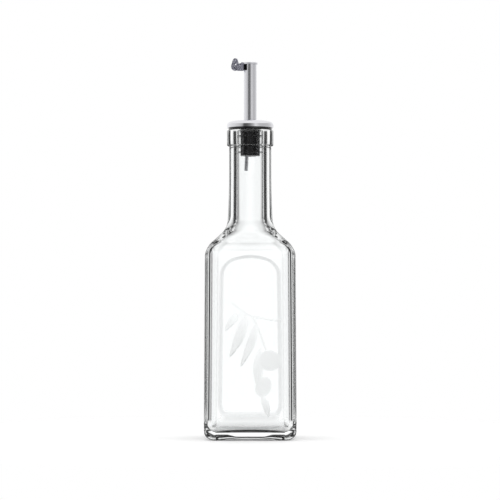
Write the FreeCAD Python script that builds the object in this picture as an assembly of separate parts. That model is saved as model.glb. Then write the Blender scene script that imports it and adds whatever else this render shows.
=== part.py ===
"""Square oil bottle of clear pressed glass, with a steel pourer in its neck.

Millimetres, +Z up. The origin is the middle of the base, on the plane the bottle stands on.
The recessed panel faces -Y, and the pourer's flap is hinged on the -X side of its spout.
"""

import FreeCAD, Part
import math
import os

# Glass: body
GLASS_HEIGHT = 212.2
BASE_HALF_WIDTH = 31.5
BODY_DRAFT = 0.7
BODY_HEIGHT = 125.0
CORNER_RADIUS = 7.5
HEEL_RADIUS = 6.4
BODY_WALL = 4.0
INSIDE_CORNER_RADIUS = 5.5
INSIDE_HEEL_RADIUS = 4.8
BASE_THICKNESS = 5.6
BEARING_WIDTH = 3.1
PUNT_RISE = 2.6
INSIDE_CROWN_MARGIN = 3.7
INSIDE_CROWN_RISE = 0.6

# Glass: shoulder and neck
SHOULDER_CONVEX_RADIUS = 14.0
SHOULDER_CONCAVE_RADIUS = 14.8
SHOULDER_SLOPE = 48.0
NECK_ROOT_RADIUS = 15.4
NECK_RADIUS = 14.5
NECK_FLARE_LENGTH = 33.0
BORE_RADIUS = 9.1
ROUND_SIDE_ANGLE = 22.5

# Glass: finish, the thick ring round the mouth
FINISH_RADIUS = 15.95
FINISH_HEIGHT = 10.7
FINISH_EDGE_RADIUS = 0.8
MOUTH_EDGE_RADIUS = 0.7

# Glass: arched panel sunk in the front
PANEL_TOP_MARGIN = 9.95
PANEL_BOTTOM_MARGIN = 9.4
PANEL_FOOT_HEIGHT = 13.0
PANEL_ARCH_OVERRUN = 1.0
PANEL_ARCH_FLATTENING = 3.85
PANEL_ARCH_CORNER_EASE = 5.0
PANEL_FOOT_CORNER_RADIUS = 5.5
PANEL_BORDER = 3.2
PANEL_DEPTH = 0.9

# Stopper
FIN_REACH = 2.4
CORE_LENGTH = 17.8
CORE_CHAMFER = 0.5
FIN_COUNT = 3
FIN_THICKNESS = 0.8
FIN_CHAMFER = 0.2
FIN_PITCH = 5.55
FIRST_FIN_DEPTH = 4.2
FIN_CLEARANCE = 0.1
PLUG_TAPER_LENGTH = 2.4
FLANGE_INSET = 0.95
FLANGE_THICKNESS = 1.8

# Metal cap over the stopper's head
CAP_OVERHANG = 0.4
CAP_HEIGHT = 6.0
CAP_SKIRT_HEIGHT = 1.3
CAP_EDGE_RADIUS = 3.3
CAP_SHEET = 0.6
CAP_HEAD_CLEARANCE = 0.1

# Spout and vent tubes
SPOUT_RADIUS = 4.45
SPOUT_WALL = 0.7
SPOUT_HEIGHT = 38.0
SPOUT_SOCKET_DEPTH = 16.0
SPOUT_FIT_CLEARANCE = 0.05
VENT_RADIUS = 1.25
VENT_WALL = 0.35
VENT_HANG = 10.2
VENT_LEAN = 2.4
VENT_TOP_GAP = 7.0
VENT_WALL_CLEARANCE = 0.1

# Hinge bracket and pin
HINGE_REACH = 1.15
HINGE_RISE = 0.45
PIN_RADIUS = 0.45
PIN_HEAD_RADIUS = 0.7
PIN_HEAD_LENGTH = 0.25
CHEEK_EAR_RADIUS = 0.95
CHEEK_THICKNESS = 0.6
CHEEK_REACH = 3.6
CHEEK_CORNER_RADIUS = 0.6
SADDLE_THICKNESS = 0.6
SADDLE_HEIGHT = 4.1
SADDLE_HALF_ANGLE = 57.0
SADDLE_BRAZE_GAP = 0.03

# Flap: lid, knuckle and counterweight
LID_OVERHANG = 0.65
LID_THICKNESS = 1.3
LID_EDGE_CHAMFER = 0.35
LID_GAP = 0.1
LID_EAR_CLEARANCE = 0.2
KNUCKLE_RADIUS = 0.85
KNUCKLE_HALF_LENGTH = 1.7
KNUCKLE_SIDE_CLEARANCE = 0.15
KNUCKLE_BORE_CLEARANCE = 0.05
KNUCKLE_NOTCH_CLEARANCE = 0.25
ARM_HALF_THICKNESS = 1.1
ARM_ROOT_HALF_DEPTH = 0.65
ARM_END_HALF_DEPTH = 1.3
WEIGHT_REACH = 4.8
WEIGHT_DROP = 1.85
WEIGHT_RADIUS = 2.85
WEIGHT_RISE = 5.7
WEIGHT_TIP_RADIUS = 1.85
WEIGHT_TIP_SHIFT = 0.1
EYE_RADIUS = 0.45
EYE_SHIFT_X = 0.3
EYE_SHIFT_Z = 1.4

# Each arc of the shoulder is drawn through this many steps of level outlines
SHOULDER_ARC_STEPS = 4

# How far a cutting shape passes beyond a surface, and how closely an edge's box is matched
CUT_THROUGH = 1.0
LEVEL_MATCH = 1e-4
WIDTH_MATCH = 0.01

AXIS_X = FreeCAD.Vector(1, 0, 0)
AXIS_Y = FreeCAD.Vector(0, 1, 0)
AXIS_Z = FreeCAD.Vector(0, 0, 1)

# Widths and heights that several pieces share
BODY_TOP_HALF_WIDTH = BASE_HALF_WIDTH - BODY_DRAFT
PUNT_RADIUS = BASE_HALF_WIDTH - HEEL_RADIUS - BEARING_WIDTH
INSIDE_CROWN_RADIUS = BASE_HALF_WIDTH - BODY_WALL - INSIDE_HEEL_RADIUS - INSIDE_CROWN_MARGIN
PANEL_TOP_HEIGHT = BODY_HEIGHT + PANEL_ARCH_OVERRUN
PANEL_TOP_HALF_WIDTH = BODY_TOP_HALF_WIDTH - PANEL_TOP_MARGIN
PANEL_FOOT_HALF_WIDTH = BASE_HALF_WIDTH - PANEL_BOTTOM_MARGIN
PANEL_ARCH_RISE = PANEL_TOP_HALF_WIDTH - PANEL_ARCH_FLATTENING
PANEL_ARCH_CORNER_RADIUS = PANEL_ARCH_RISE - PANEL_ARCH_CORNER_EASE
CORE_RADIUS = BORE_RADIUS - FIN_REACH
FLANGE_RADIUS = FINISH_RADIUS - FLANGE_INSET
CAP_RADIUS = FINISH_RADIUS + CAP_OVERHANG
LID_RADIUS = SPOUT_RADIUS + LID_OVERHANG
HEAD_FOOT_HEIGHT = GLASS_HEIGHT + FLANGE_THICKNESS
CAP_TOP_HEIGHT = HEAD_FOOT_HEIGHT + CAP_HEIGHT
SPOUT_TOP_HEIGHT = CAP_TOP_HEIGHT + SPOUT_HEIGHT
SPOUT_FOOT_HEIGHT = GLASS_HEIGHT - SPOUT_SOCKET_DEPTH + FLANGE_THICKNESS
CORE_FOOT_HEIGHT = GLASS_HEIGHT - CORE_LENGTH
SPOUT_BORE_RADIUS = SPOUT_RADIUS - SPOUT_WALL
PIN_X = -(SPOUT_RADIUS + HINGE_REACH)
PIN_Z = SPOUT_TOP_HEIGHT + HINGE_RISE
CHEEK_INNER_Y = KNUCKLE_HALF_LENGTH + KNUCKLE_SIDE_CLEARANCE
CHEEK_OUTER_Y = CHEEK_INNER_Y + CHEEK_THICKNESS


def vector(x, y, z):
    return FreeCAD.Vector(x, y, z)


def body_half_width(height):
    """Half the outer width of the square body, which is drawn in slightly towards its top."""
    share = height / BODY_HEIGHT
    return BASE_HALF_WIDTH + share * (BODY_TOP_HALF_WIDTH - BASE_HALF_WIDTH)


def crown_radius(half_width, rise, corner_radius):
    """Radius of the flat crown arc that meets two corner arcs smoothly."""
    square_part = (half_width - corner_radius) ** 2 + rise ** 2 - corner_radius ** 2
    return square_part / (2 * (rise - corner_radius))


def square_section(half_width, corner_radius, side_angle, height):
    """A level outline of four side arcs and four corner arcs, from a square to a circle."""
    angle = math.radians(side_angle)
    centre = (half_width - corner_radius) / (1 + math.tan(angle / 2))

    def corner_point(psi, sign):
        across = centre + corner_radius * math.sin(psi)
        return vector(centre + corner_radius * math.cos(psi), sign * across, height)

    start = corner_point(angle, -1)
    end = corner_point(angle, 1)
    side = Part.LineSegment(start, end)
    if side_angle > 0:
        side = Part.Arc(start, vector(half_width, 0, height), end)
    corner = Part.Arc(end, corner_point(math.pi / 4, 1), corner_point(math.pi / 2 - angle, 1))
    edges = []
    for quarter in range(4):
        for curve in (side, corner):
            edge = curve.toShape()
            edge.rotate(vector(0, 0, 0), AXIS_Z, 90 * quarter)
            edges.append(edge)
    return Part.Wire(edges)


def shoulder_stations(top_half_width, end_radius, convex_radius, concave_radius, flare):
    """Half-widths and heights down the side of the shoulder: an arc, a slope and an arc."""
    slope = math.radians(SHOULDER_SLOPE)
    arc_drop = convex_radius * (1 - math.cos(slope))
    arc_drop += concave_radius * (math.cos(flare) - math.cos(slope))
    straight = (top_half_width - end_radius - arc_drop) / math.sin(slope)
    stations = []
    for step in range(SHOULDER_ARC_STEPS + 1):
        turn = slope * step / SHOULDER_ARC_STEPS
        width = top_half_width - convex_radius * (1 - math.cos(turn))
        stations.append((width, BODY_HEIGHT + convex_radius * math.sin(turn)))
    width, height = stations[-1]
    end_height = height + straight * math.cos(slope)
    end_height += concave_radius * (math.sin(slope) - math.sin(flare))
    for step in range(SHOULDER_ARC_STEPS + 1):
        turn = slope + (flare - slope) * step / SHOULDER_ARC_STEPS
        width = end_radius + concave_radius * (math.cos(flare) - math.cos(turn))
        height = end_height - concave_radius * (math.sin(turn) - math.sin(flare))
        stations.append((width, height))
    return stations


def shoulder_loft(stations, corner_radius):
    """The solid under a shoulder, whose outline turns from the square body to the round neck."""
    foot = stations[0][1]
    rise = stations[-1][1] - foot
    wires = []
    for width, height in stations:
        share = (height - foot) / rise
        ease = share * share * (3 - 2 * share)
        radius = corner_radius + (width - corner_radius) * ease
        wires.append(square_section(width, radius, ROUND_SIDE_ANGLE * ease, height))
    return Part.makeLoft(wires, True, False)


def body_loft(foot_height, inset, corner_radius):
    """The drafted square body between one height and the shoulder, inset from the outside."""
    wires = []
    for height in (foot_height, BODY_HEIGHT):
        wires.append(square_section(body_half_width(height) - inset, corner_radius, 0, height))
    return Part.makeLoft(wires, True, True)


def round_level_edges(solid, height, radius):
    """Round every edge that lies level at one height."""
    edges = []
    for edge in solid.Edges:
        box = edge.BoundBox
        if abs(box.ZMin - height) < LEVEL_MATCH and abs(box.ZMax - height) < LEVEL_MATCH:
            edges.append(edge)
    return solid.makeFillet(radius, edges)


def dome_cap(plan_radius, rise, height):
    """A shallow spherical dome standing on a level circle."""
    radius = (plan_radius ** 2 + rise ** 2) / (2 * rise)
    sphere = Part.makeSphere(radius, vector(0, 0, height + rise - radius))
    cylinder = Part.makeCylinder(plan_radius + CUT_THROUGH, rise + CUT_THROUGH, vector(0, 0, height))
    return sphere.common(cylinder)


def revolve_profile(edges):
    """Turn a closed outline in the XZ plane round the vertical axis."""
    face = Part.Face(Part.Wire(edges))
    return face.revolve(vector(0, 0, 0), AXIS_Z, 360)


def polyline(points):
    """Straight edges through points given as radius and height, closed back to the first."""
    corners = [vector(x, 0, z) for x, z in points]
    edges = []
    for start, end in zip(corners, corners[1:] + corners[:1]):
        edges.append(Part.LineSegment(start, end).toShape())
    return edges


def neck_flare_angle():
    """Slope of the neck's foot, where its long flare meets the shoulder's concave arc."""
    spread = NECK_ROOT_RADIUS - NECK_RADIUS
    return 2 * math.atan(spread / NECK_FLARE_LENGTH)


def neck_solid(root_height):
    """The round neck, from its flared foot to the mouth, with the thick ring of the finish."""
    flare = neck_flare_angle()
    flare_radius = NECK_FLARE_LENGTH / math.sin(flare)
    flare_top = root_height + NECK_FLARE_LENGTH
    half = flare / 2
    middle_x = NECK_RADIUS + flare_radius * (1 - math.cos(half))
    middle_z = flare_top - flare_radius * math.sin(half)
    ring_foot = GLASS_HEIGHT - FINISH_HEIGHT
    root = vector(NECK_ROOT_RADIUS, 0, root_height)
    top = vector(NECK_RADIUS, 0, flare_top)
    edges = [
        Part.LineSegment(vector(0, 0, root_height), root).toShape(),
        Part.Arc(root, vector(middle_x, 0, middle_z), top).toShape(),
    ]
    points = [
        (NECK_RADIUS, flare_top),
        (NECK_RADIUS, ring_foot),
        (FINISH_RADIUS, ring_foot),
        (FINISH_RADIUS, GLASS_HEIGHT),
        (0, GLASS_HEIGHT),
        (0, root_height),
    ]
    edges.extend(polyline(points)[:-1])
    neck = revolve_profile(edges)
    ring_edges = []
    for edge in neck.Edges:
        box = edge.BoundBox
        wide = box.XLength > 2 * FINISH_RADIUS - WIDTH_MATCH
        if wide and abs(box.ZLength) < LEVEL_MATCH:
            ring_edges.append(edge)
    return neck.makeFillet(FINISH_EDGE_RADIUS, ring_edges)


def panel_outline(offset, depth):
    """The arched outline of the panel, moved out by offset and set into the front by depth."""
    y = -BASE_HALF_WIDTH + depth
    spring = PANEL_TOP_HEIGHT - PANEL_ARCH_RISE
    crown = crown_radius(PANEL_TOP_HALF_WIDTH, PANEL_ARCH_RISE, PANEL_ARCH_CORNER_RADIUS)
    crown_centre = spring + PANEL_ARCH_RISE - crown
    corner_x = PANEL_TOP_HALF_WIDTH - PANEL_ARCH_CORNER_RADIUS
    corner_reach = PANEL_ARCH_CORNER_RADIUS + offset
    meet = math.atan2(spring - crown_centre, corner_x)
    foot = PANEL_FOOT_HEIGHT - offset
    foot_radius = PANEL_FOOT_CORNER_RADIUS + offset
    foot_x = PANEL_FOOT_HALF_WIDTH + offset

    def corner_arc(side):
        start = vector(side * (PANEL_TOP_HALF_WIDTH + offset), y, spring)
        middle_x = side * (corner_x + corner_reach * math.cos(meet / 2))
        middle = vector(middle_x, y, spring + corner_reach * math.sin(meet / 2))
        end_x = side * (corner_x + corner_reach * math.cos(meet))
        end = vector(end_x, y, spring + corner_reach * math.sin(meet))
        return start, middle, end

    def foot_arc(side):
        start = vector(side * foot_x, y, foot + foot_radius)
        inset = foot_radius * (1 - math.cos(math.pi / 4))
        middle = vector(side * (foot_x - inset), y, foot + inset)
        end = vector(side * (foot_x - foot_radius), y, foot)
        return start, middle, end

    left = corner_arc(-1)
    right = corner_arc(1)
    left_foot = foot_arc(-1)
    right_foot = foot_arc(1)
    top = vector(0, y, PANEL_TOP_HEIGHT + offset)
    return Part.Wire([
        Part.LineSegment(left_foot[0], left[0]).toShape(),
        Part.Arc(*left).toShape(),
        Part.Arc(left[2], top, right[2]).toShape(),
        Part.Arc(right[2], right[1], right[0]).toShape(),
        Part.LineSegment(right[0], right_foot[0]).toShape(),
        Part.Arc(*right_foot).toShape(),
        Part.LineSegment(right_foot[2], left_foot[2]).toShape(),
        Part.Arc(left_foot[2], left_foot[1], left_foot[0]).toShape(),
    ])


def panel_cutter():
    """The tapered block that sinks the panel, tilted to follow the draft of the front."""
    spread = PANEL_BORDER * CUT_THROUGH / PANEL_DEPTH
    outside = panel_outline(spread, -CUT_THROUGH)
    inside = panel_outline(-PANEL_BORDER, PANEL_DEPTH)
    cutter = Part.makeLoft([outside, inside], True, True)
    draft = math.degrees(math.atan((BASE_HALF_WIDTH - BODY_TOP_HALF_WIDTH) / BODY_HEIGHT))
    cutter.rotate(vector(0, -BASE_HALF_WIDTH, 0), AXIS_X, -draft)
    return cutter


def make_bottle():
    """One hollow glass solid: square body, shoulder, neck, finish, panel and punt."""
    body = round_level_edges(body_loft(0, 0, CORNER_RADIUS), 0, HEEL_RADIUS)
    outer_stations = shoulder_stations(
        BODY_TOP_HALF_WIDTH,
        NECK_ROOT_RADIUS,
        SHOULDER_CONVEX_RADIUS,
        SHOULDER_CONCAVE_RADIUS,
        neck_flare_angle(),
    )
    shoulder = shoulder_loft(outer_stations, CORNER_RADIUS)
    neck = neck_solid(outer_stations[-1][1])
    outside = body.fuse([shoulder, neck]).removeSplitter()

    cavity_body = body_loft(BASE_THICKNESS, BODY_WALL, INSIDE_CORNER_RADIUS)
    cavity_body = round_level_edges(cavity_body, BASE_THICKNESS, INSIDE_HEEL_RADIUS)
    cavity_body = cavity_body.cut(dome_cap(INSIDE_CROWN_RADIUS, INSIDE_CROWN_RISE, BASE_THICKNESS))
    inner_stations = shoulder_stations(
        BODY_TOP_HALF_WIDTH - BODY_WALL,
        BORE_RADIUS,
        SHOULDER_CONVEX_RADIUS - BODY_WALL,
        SHOULDER_CONCAVE_RADIUS + BODY_WALL,
        0,
    )
    cavity_shoulder = shoulder_loft(inner_stations, INSIDE_CORNER_RADIUS)
    bore_foot = inner_stations[-1][1]
    bore_length = GLASS_HEIGHT + CUT_THROUGH - bore_foot
    bore = Part.makeCylinder(BORE_RADIUS, bore_length, vector(0, 0, bore_foot))
    cavity = cavity_body.fuse([cavity_shoulder, bore]).removeSplitter()

    glass = outside.cut(cavity)
    mouth_edges = []
    for edge in glass.Edges:
        box = edge.BoundBox
        level = abs(box.ZMin - GLASS_HEIGHT) < LEVEL_MATCH and abs(box.ZLength) < LEVEL_MATCH
        if level and abs(box.XLength - 2 * BORE_RADIUS) < WIDTH_MATCH:
            mouth_edges.append(edge)
    glass = glass.makeFillet(MOUTH_EDGE_RADIUS, mouth_edges)
    glass = glass.cut(dome_cap(PUNT_RADIUS, PUNT_RISE, 0))
    return glass.cut(panel_cutter())


def head_profile(inset, foot):
    """Edges of the capped head's outline, inset from the cap's outside, from its foot to the axis."""
    rise = CAP_HEIGHT - CAP_SKIRT_HEIGHT
    skirt_top = HEAD_FOOT_HEIGHT + CAP_SKIRT_HEIGHT
    crown = crown_radius(CAP_RADIUS, rise, CAP_EDGE_RADIUS)
    crown_centre = CAP_TOP_HEIGHT - crown
    edge_x = CAP_RADIUS - CAP_EDGE_RADIUS
    meet = math.atan2(skirt_top - crown_centre, edge_x)
    reach = CAP_EDGE_RADIUS - inset
    side = vector(CAP_RADIUS - inset, 0, skirt_top)
    middle = vector(edge_x + reach * math.cos(meet / 2), 0, skirt_top + reach * math.sin(meet / 2))
    shoulder = vector(edge_x + reach * math.cos(meet), 0, skirt_top + reach * math.sin(meet))
    crown_reach = crown - inset
    half = (meet + math.pi / 2) / 2
    crown_middle_z = crown_centre + crown_reach * math.sin(half)
    crown_middle = vector(crown_reach * math.cos(half), 0, crown_middle_z)
    top = vector(0, 0, CAP_TOP_HEIGHT - inset)
    return [
        Part.LineSegment(vector(CAP_RADIUS - inset, 0, foot), side).toShape(),
        Part.Arc(side, middle, shoulder).toShape(),
        Part.Arc(shoulder, crown_middle, top).toShape(),
    ]


def head_solid(inset, foot):
    """The solid under the head's outline."""
    edges = head_profile(inset, foot)
    middle = vector(0, 0, foot)
    edges.append(Part.LineSegment(vector(0, 0, CAP_TOP_HEIGHT - inset), middle).toShape())
    edges.append(Part.LineSegment(middle, vector(CAP_RADIUS - inset, 0, foot)).toShape())
    return revolve_profile(edges)


def make_stopper():
    """The moulded stopper: head inside the cap, flange on the mouth, tapered plug and fins."""
    plug_radius = BORE_RADIUS - FIN_CLEARANCE
    profile = polyline([
        (0, CORE_FOOT_HEIGHT),
        (CORE_RADIUS - CORE_CHAMFER, CORE_FOOT_HEIGHT),
        (CORE_RADIUS, CORE_FOOT_HEIGHT + CORE_CHAMFER),
        (CORE_RADIUS, GLASS_HEIGHT - PLUG_TAPER_LENGTH),
        (plug_radius - MOUTH_EDGE_RADIUS, GLASS_HEIGHT),
        (FLANGE_RADIUS, GLASS_HEIGHT),
        (FLANGE_RADIUS, HEAD_FOOT_HEIGHT),
        (0, HEAD_FOOT_HEIGHT),
    ])
    pieces = [revolve_profile(profile)]
    pieces.append(head_solid(CAP_SHEET + CAP_HEAD_CLEARANCE, HEAD_FOOT_HEIGHT))
    for index in range(FIN_COUNT):
        height = GLASS_HEIGHT - FIRST_FIN_DEPTH - index * FIN_PITCH - FIN_THICKNESS / 2
        fin = Part.makeCylinder(plug_radius, FIN_THICKNESS, vector(0, 0, height))
        fin = fin.makeChamfer(FIN_CHAMFER, [fin.Edges[0], fin.Edges[2]])
        pieces.append(fin)
    stopper = pieces[0].fuse(pieces[1:]).removeSplitter()
    bore_foot = vector(0, 0, CORE_FOOT_HEIGHT - CUT_THROUGH)
    bore = Part.makeCylinder(SPOUT_BORE_RADIUS, CAP_TOP_HEIGHT, bore_foot)
    socket_radius = SPOUT_RADIUS + SPOUT_FIT_CLEARANCE
    socket = Part.makeCylinder(socket_radius, CAP_TOP_HEIGHT, vector(0, 0, SPOUT_FOOT_HEIGHT))
    return stopper.cut(bore.fuse(socket))


def make_cap():
    """The domed metal cap, a shell of even sheet with a hole for the spout."""
    inside = head_solid(CAP_SHEET, HEAD_FOOT_HEIGHT - CUT_THROUGH)
    shell = head_solid(0, HEAD_FOOT_HEIGHT).cut(inside)
    hole_radius = SPOUT_RADIUS + SPOUT_FIT_CLEARANCE
    hole = Part.makeCylinder(hole_radius, CAP_HEIGHT + CUT_THROUGH, vector(0, 0, HEAD_FOOT_HEIGHT))
    return shell.cut(hole)


def tube(outer_radius, wall, length, foot):
    """A straight round tube standing on a point."""
    outer = Part.makeCylinder(outer_radius, length, foot)
    inner = Part.makeCylinder(outer_radius - wall, length, foot)
    return outer.cut(inner)


def make_spout():
    """The straight spout tube, seated on a ledge inside the stopper."""
    length = SPOUT_TOP_HEIGHT - SPOUT_FOOT_HEIGHT
    return tube(SPOUT_RADIUS, SPOUT_WALL, length, vector(0, 0, SPOUT_FOOT_HEIGHT))


def make_vent():
    """The thin air tube, which leans from the spout's mouth to the wall of the stopper's bore."""
    lean = math.radians(VENT_LEAN)
    side_x = -(SPOUT_BORE_RADIUS - VENT_RADIUS / math.cos(lean) - VENT_WALL_CLEARANCE)
    tip_z = CORE_FOOT_HEIGHT - VENT_HANG
    tip_x = side_x - VENT_HANG * math.tan(lean)
    length = (SPOUT_TOP_HEIGHT - VENT_TOP_GAP - tip_z) / math.cos(lean)
    vent = tube(VENT_RADIUS, VENT_WALL, length, vector(0, 0, 0))
    vent.rotate(vector(0, 0, 0), AXIS_Y, VENT_LEAN)
    vent.translate(vector(tip_x, 0, tip_z))
    return vent


def make_bracket():
    """The bracket brazed to the spout: a saddle round its side with two cheeks for the pin."""
    foot = SPOUT_TOP_HEIGHT - SADDLE_HEIGHT
    inner = SPOUT_RADIUS + SADDLE_BRAZE_GAP
    outer = inner + SADDLE_THICKNESS
    ring = tube(outer, SADDLE_THICKNESS, SADDLE_HEIGHT, vector(0, 0, foot))
    reach = 2 * outer
    half = math.radians(SADDLE_HALF_ANGLE)
    wedge = Part.Face(Part.makePolygon([
        vector(0, 0, foot),
        vector(-reach * math.cos(half), reach * math.sin(half), foot),
        vector(-reach, 0, foot),
        vector(-reach * math.cos(half), -reach * math.sin(half), foot),
        vector(0, 0, foot),
    ])).extrude(AXIS_Z * SADDLE_HEIGHT)
    bracket = ring.common(wedge)
    core_height = SADDLE_HEIGHT + 2 * CUT_THROUGH
    core = Part.makeCylinder(inner, core_height, vector(0, 0, foot - CUT_THROUGH))
    left = PIN_X - CHEEK_REACH
    ear_right = PIN_X + CHEEK_EAR_RADIUS
    for start in (-CHEEK_OUTER_Y, CHEEK_INNER_Y):
        plate = Part.makeBox(-left, CHEEK_THICKNESS, SADDLE_HEIGHT, vector(left, start, foot))
        corners = []
        for edge in plate.Edges:
            box = edge.BoundBox
            if abs(box.XMax - left) < LEVEL_MATCH and box.YLength > CHEEK_THICKNESS / 2:
                corners.append(edge)
        plate = plate.makeFillet(CHEEK_CORNER_RADIUS, corners)
        tall = 2 * SADDLE_HEIGHT
        beyond_pin = Part.makeBox(reach, reach, tall, vector(ear_right, -reach / 2, foot))
        beyond_ring = beyond_pin.cut(Part.makeCylinder(outer, tall, vector(0, 0, foot)))
        plate = plate.cut(core).cut(beyond_ring)
        ear_height = PIN_Z - foot
        ear_foot = vector(PIN_X - CHEEK_EAR_RADIUS, start, foot)
        ear = Part.makeBox(2 * CHEEK_EAR_RADIUS, CHEEK_THICKNESS, ear_height, ear_foot)
        ear = ear.cut(core)
        pin_end = vector(PIN_X, start, PIN_Z)
        ear_end = Part.makeCylinder(CHEEK_EAR_RADIUS, CHEEK_THICKNESS, pin_end, AXIS_Y)
        bracket = bracket.fuse([plate, ear, ear_end])
    notch_radius = KNUCKLE_RADIUS + KNUCKLE_NOTCH_CLEARANCE
    notch_end = vector(PIN_X, -CHEEK_INNER_Y, PIN_Z)
    notch = Part.makeCylinder(notch_radius, 2 * CHEEK_INNER_Y, notch_end, AXIS_Y)
    hole_end = vector(PIN_X, -2 * CHEEK_OUTER_Y, PIN_Z)
    hole = Part.makeCylinder(PIN_RADIUS, 4 * CHEEK_OUTER_Y, hole_end, AXIS_Y)
    return bracket.removeSplitter().cut(notch.fuse(hole))


def make_pin():
    """The hinge pin, riveted over at both cheeks."""
    pin_end = vector(PIN_X, -CHEEK_OUTER_Y, PIN_Z)
    pin = Part.makeCylinder(PIN_RADIUS, 2 * CHEEK_OUTER_Y, pin_end, AXIS_Y)
    for start in (-CHEEK_OUTER_Y - PIN_HEAD_LENGTH, CHEEK_OUTER_Y):
        head_end = vector(PIN_X, start, PIN_Z)
        head = Part.makeCylinder(PIN_HEAD_RADIUS, PIN_HEAD_LENGTH, head_end, AXIS_Y)
        pin = pin.fuse(head)
    return pin.removeSplitter()


def teardrop_face(centre_x, centre_z):
    """The counterweight's outline: a round belly drawn up to a small round tip."""
    tip_x = centre_x + WEIGHT_TIP_SHIFT
    tip_z = centre_z + WEIGHT_RISE - WEIGHT_TIP_RADIUS
    span = math.hypot(tip_x - centre_x, tip_z - centre_z)
    axis = math.atan2(tip_z - centre_z, tip_x - centre_x)
    spread = math.acos((WEIGHT_RADIUS - WEIGHT_TIP_RADIUS) / span)

    def rim(x, z, radius, angle):
        return vector(x + radius * math.cos(angle), 0, z + radius * math.sin(angle))

    belly_start = rim(centre_x, centre_z, WEIGHT_RADIUS, axis + spread)
    belly_middle = rim(centre_x, centre_z, WEIGHT_RADIUS, axis + math.pi)
    belly_end = rim(centre_x, centre_z, WEIGHT_RADIUS, axis - spread)
    tip_start = rim(tip_x, tip_z, WEIGHT_TIP_RADIUS, axis - spread)
    tip_middle = rim(tip_x, tip_z, WEIGHT_TIP_RADIUS, axis)
    tip_end = rim(tip_x, tip_z, WEIGHT_TIP_RADIUS, axis + spread)
    return Part.Face(Part.Wire([
        Part.Arc(belly_start, belly_middle, belly_end).toShape(),
        Part.LineSegment(belly_end, tip_start).toShape(),
        Part.Arc(tip_start, tip_middle, tip_end).toShape(),
        Part.LineSegment(tip_end, belly_start).toShape(),
    ]))


def make_flap():
    """The flap: a lid on the spout's mouth, a knuckle on the pin and a counterweight beyond it."""
    lid_foot = SPOUT_TOP_HEIGHT + LID_GAP
    lid = Part.makeCylinder(LID_RADIUS, LID_THICKNESS, vector(0, 0, lid_foot))
    lid = lid.makeChamfer(LID_EDGE_CHAMFER, [lid.Edges[0]])
    ear_side = PIN_X + CHEEK_EAR_RADIUS + LID_EAR_CLEARANCE
    wide = 2 * LID_RADIUS
    beyond_foot = vector(ear_side - wide, -LID_RADIUS, lid_foot)
    lid = lid.cut(Part.makeBox(wide, wide, 2 * LID_THICKNESS, beyond_foot))
    tongue_foot = vector(PIN_X, -KNUCKLE_HALF_LENGTH, lid_foot)
    tongue_height = PIN_Z + KNUCKLE_RADIUS - lid_foot
    tongue = Part.makeBox(-PIN_X, 2 * KNUCKLE_HALF_LENGTH, tongue_height, tongue_foot)
    knuckle_foot = vector(PIN_X, -KNUCKLE_HALF_LENGTH, PIN_Z)
    knuckle = Part.makeCylinder(KNUCKLE_RADIUS, 2 * KNUCKLE_HALF_LENGTH, knuckle_foot, AXIS_Y)
    weight_x = PIN_X - WEIGHT_REACH
    weight_z = PIN_Z - WEIGHT_DROP
    weight = teardrop_face(weight_x, weight_z)
    weight.translate(vector(0, -ARM_HALF_THICKNESS, 0))
    weight = weight.extrude(AXIS_Y * (2 * ARM_HALF_THICKNESS))
    arm = Part.Face(Part.makePolygon([
        vector(weight_x, -ARM_HALF_THICKNESS, weight_z - ARM_END_HALF_DEPTH),
        vector(PIN_X, -ARM_HALF_THICKNESS, PIN_Z - ARM_ROOT_HALF_DEPTH),
        vector(PIN_X, -ARM_HALF_THICKNESS, PIN_Z + ARM_ROOT_HALF_DEPTH),
        vector(weight_x, -ARM_HALF_THICKNESS, weight_z + ARM_END_HALF_DEPTH),
        vector(weight_x, -ARM_HALF_THICKNESS, weight_z - ARM_END_HALF_DEPTH),
    ])).extrude(AXIS_Y * (2 * ARM_HALF_THICKNESS))
    flap = lid.fuse([tongue, knuckle, weight, arm]).removeSplitter()
    eye_foot = vector(weight_x + EYE_SHIFT_X, -2 * ARM_HALF_THICKNESS, weight_z + EYE_SHIFT_Z)
    eye = Part.makeCylinder(EYE_RADIUS, 4 * ARM_HALF_THICKNESS, eye_foot, AXIS_Y)
    bore_foot = vector(PIN_X, -2 * KNUCKLE_HALF_LENGTH, PIN_Z)
    bore_radius = PIN_RADIUS + KNUCKLE_BORE_CLEARANCE
    bore = Part.makeCylinder(bore_radius, 4 * KNUCKLE_HALF_LENGTH, bore_foot, AXIS_Y)
    return flap.cut(eye.fuse(bore))


PIECES = {
    "bottle": make_bottle,
    "stopper": make_stopper,
    "pourer_cap": make_cap,
    "spout_tube": make_spout,
    "vent_tube": make_vent,
    "hinge_bracket": make_bracket,
    "hinge_pin": make_pin,
    "flap": make_flap,
}

os.makedirs("parts", exist_ok=True)
for name, make in PIECES.items():
    shape = make()
    if len(shape.Solids) != 1 or not shape.isValid():
        raise ValueError(name + " is not one valid solid")
    shape.Solids[0].exportStep("parts/" + name + ".step")
    print(name, round(shape.Volume, 1), "mm3")
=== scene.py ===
"""Looks of a square clear-glass oil bottle with a steel pourer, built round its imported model.

Sizes are held in metres, and a size written as a number of millimetres is multiplied by MM.
-Y is the face with the sunk panel, +Z is up, and the flap is hinged on the -X side of the spout.
The glass is one skin of level rows, from the middle of the base up the outside and down the inside.
"""

import math

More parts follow.
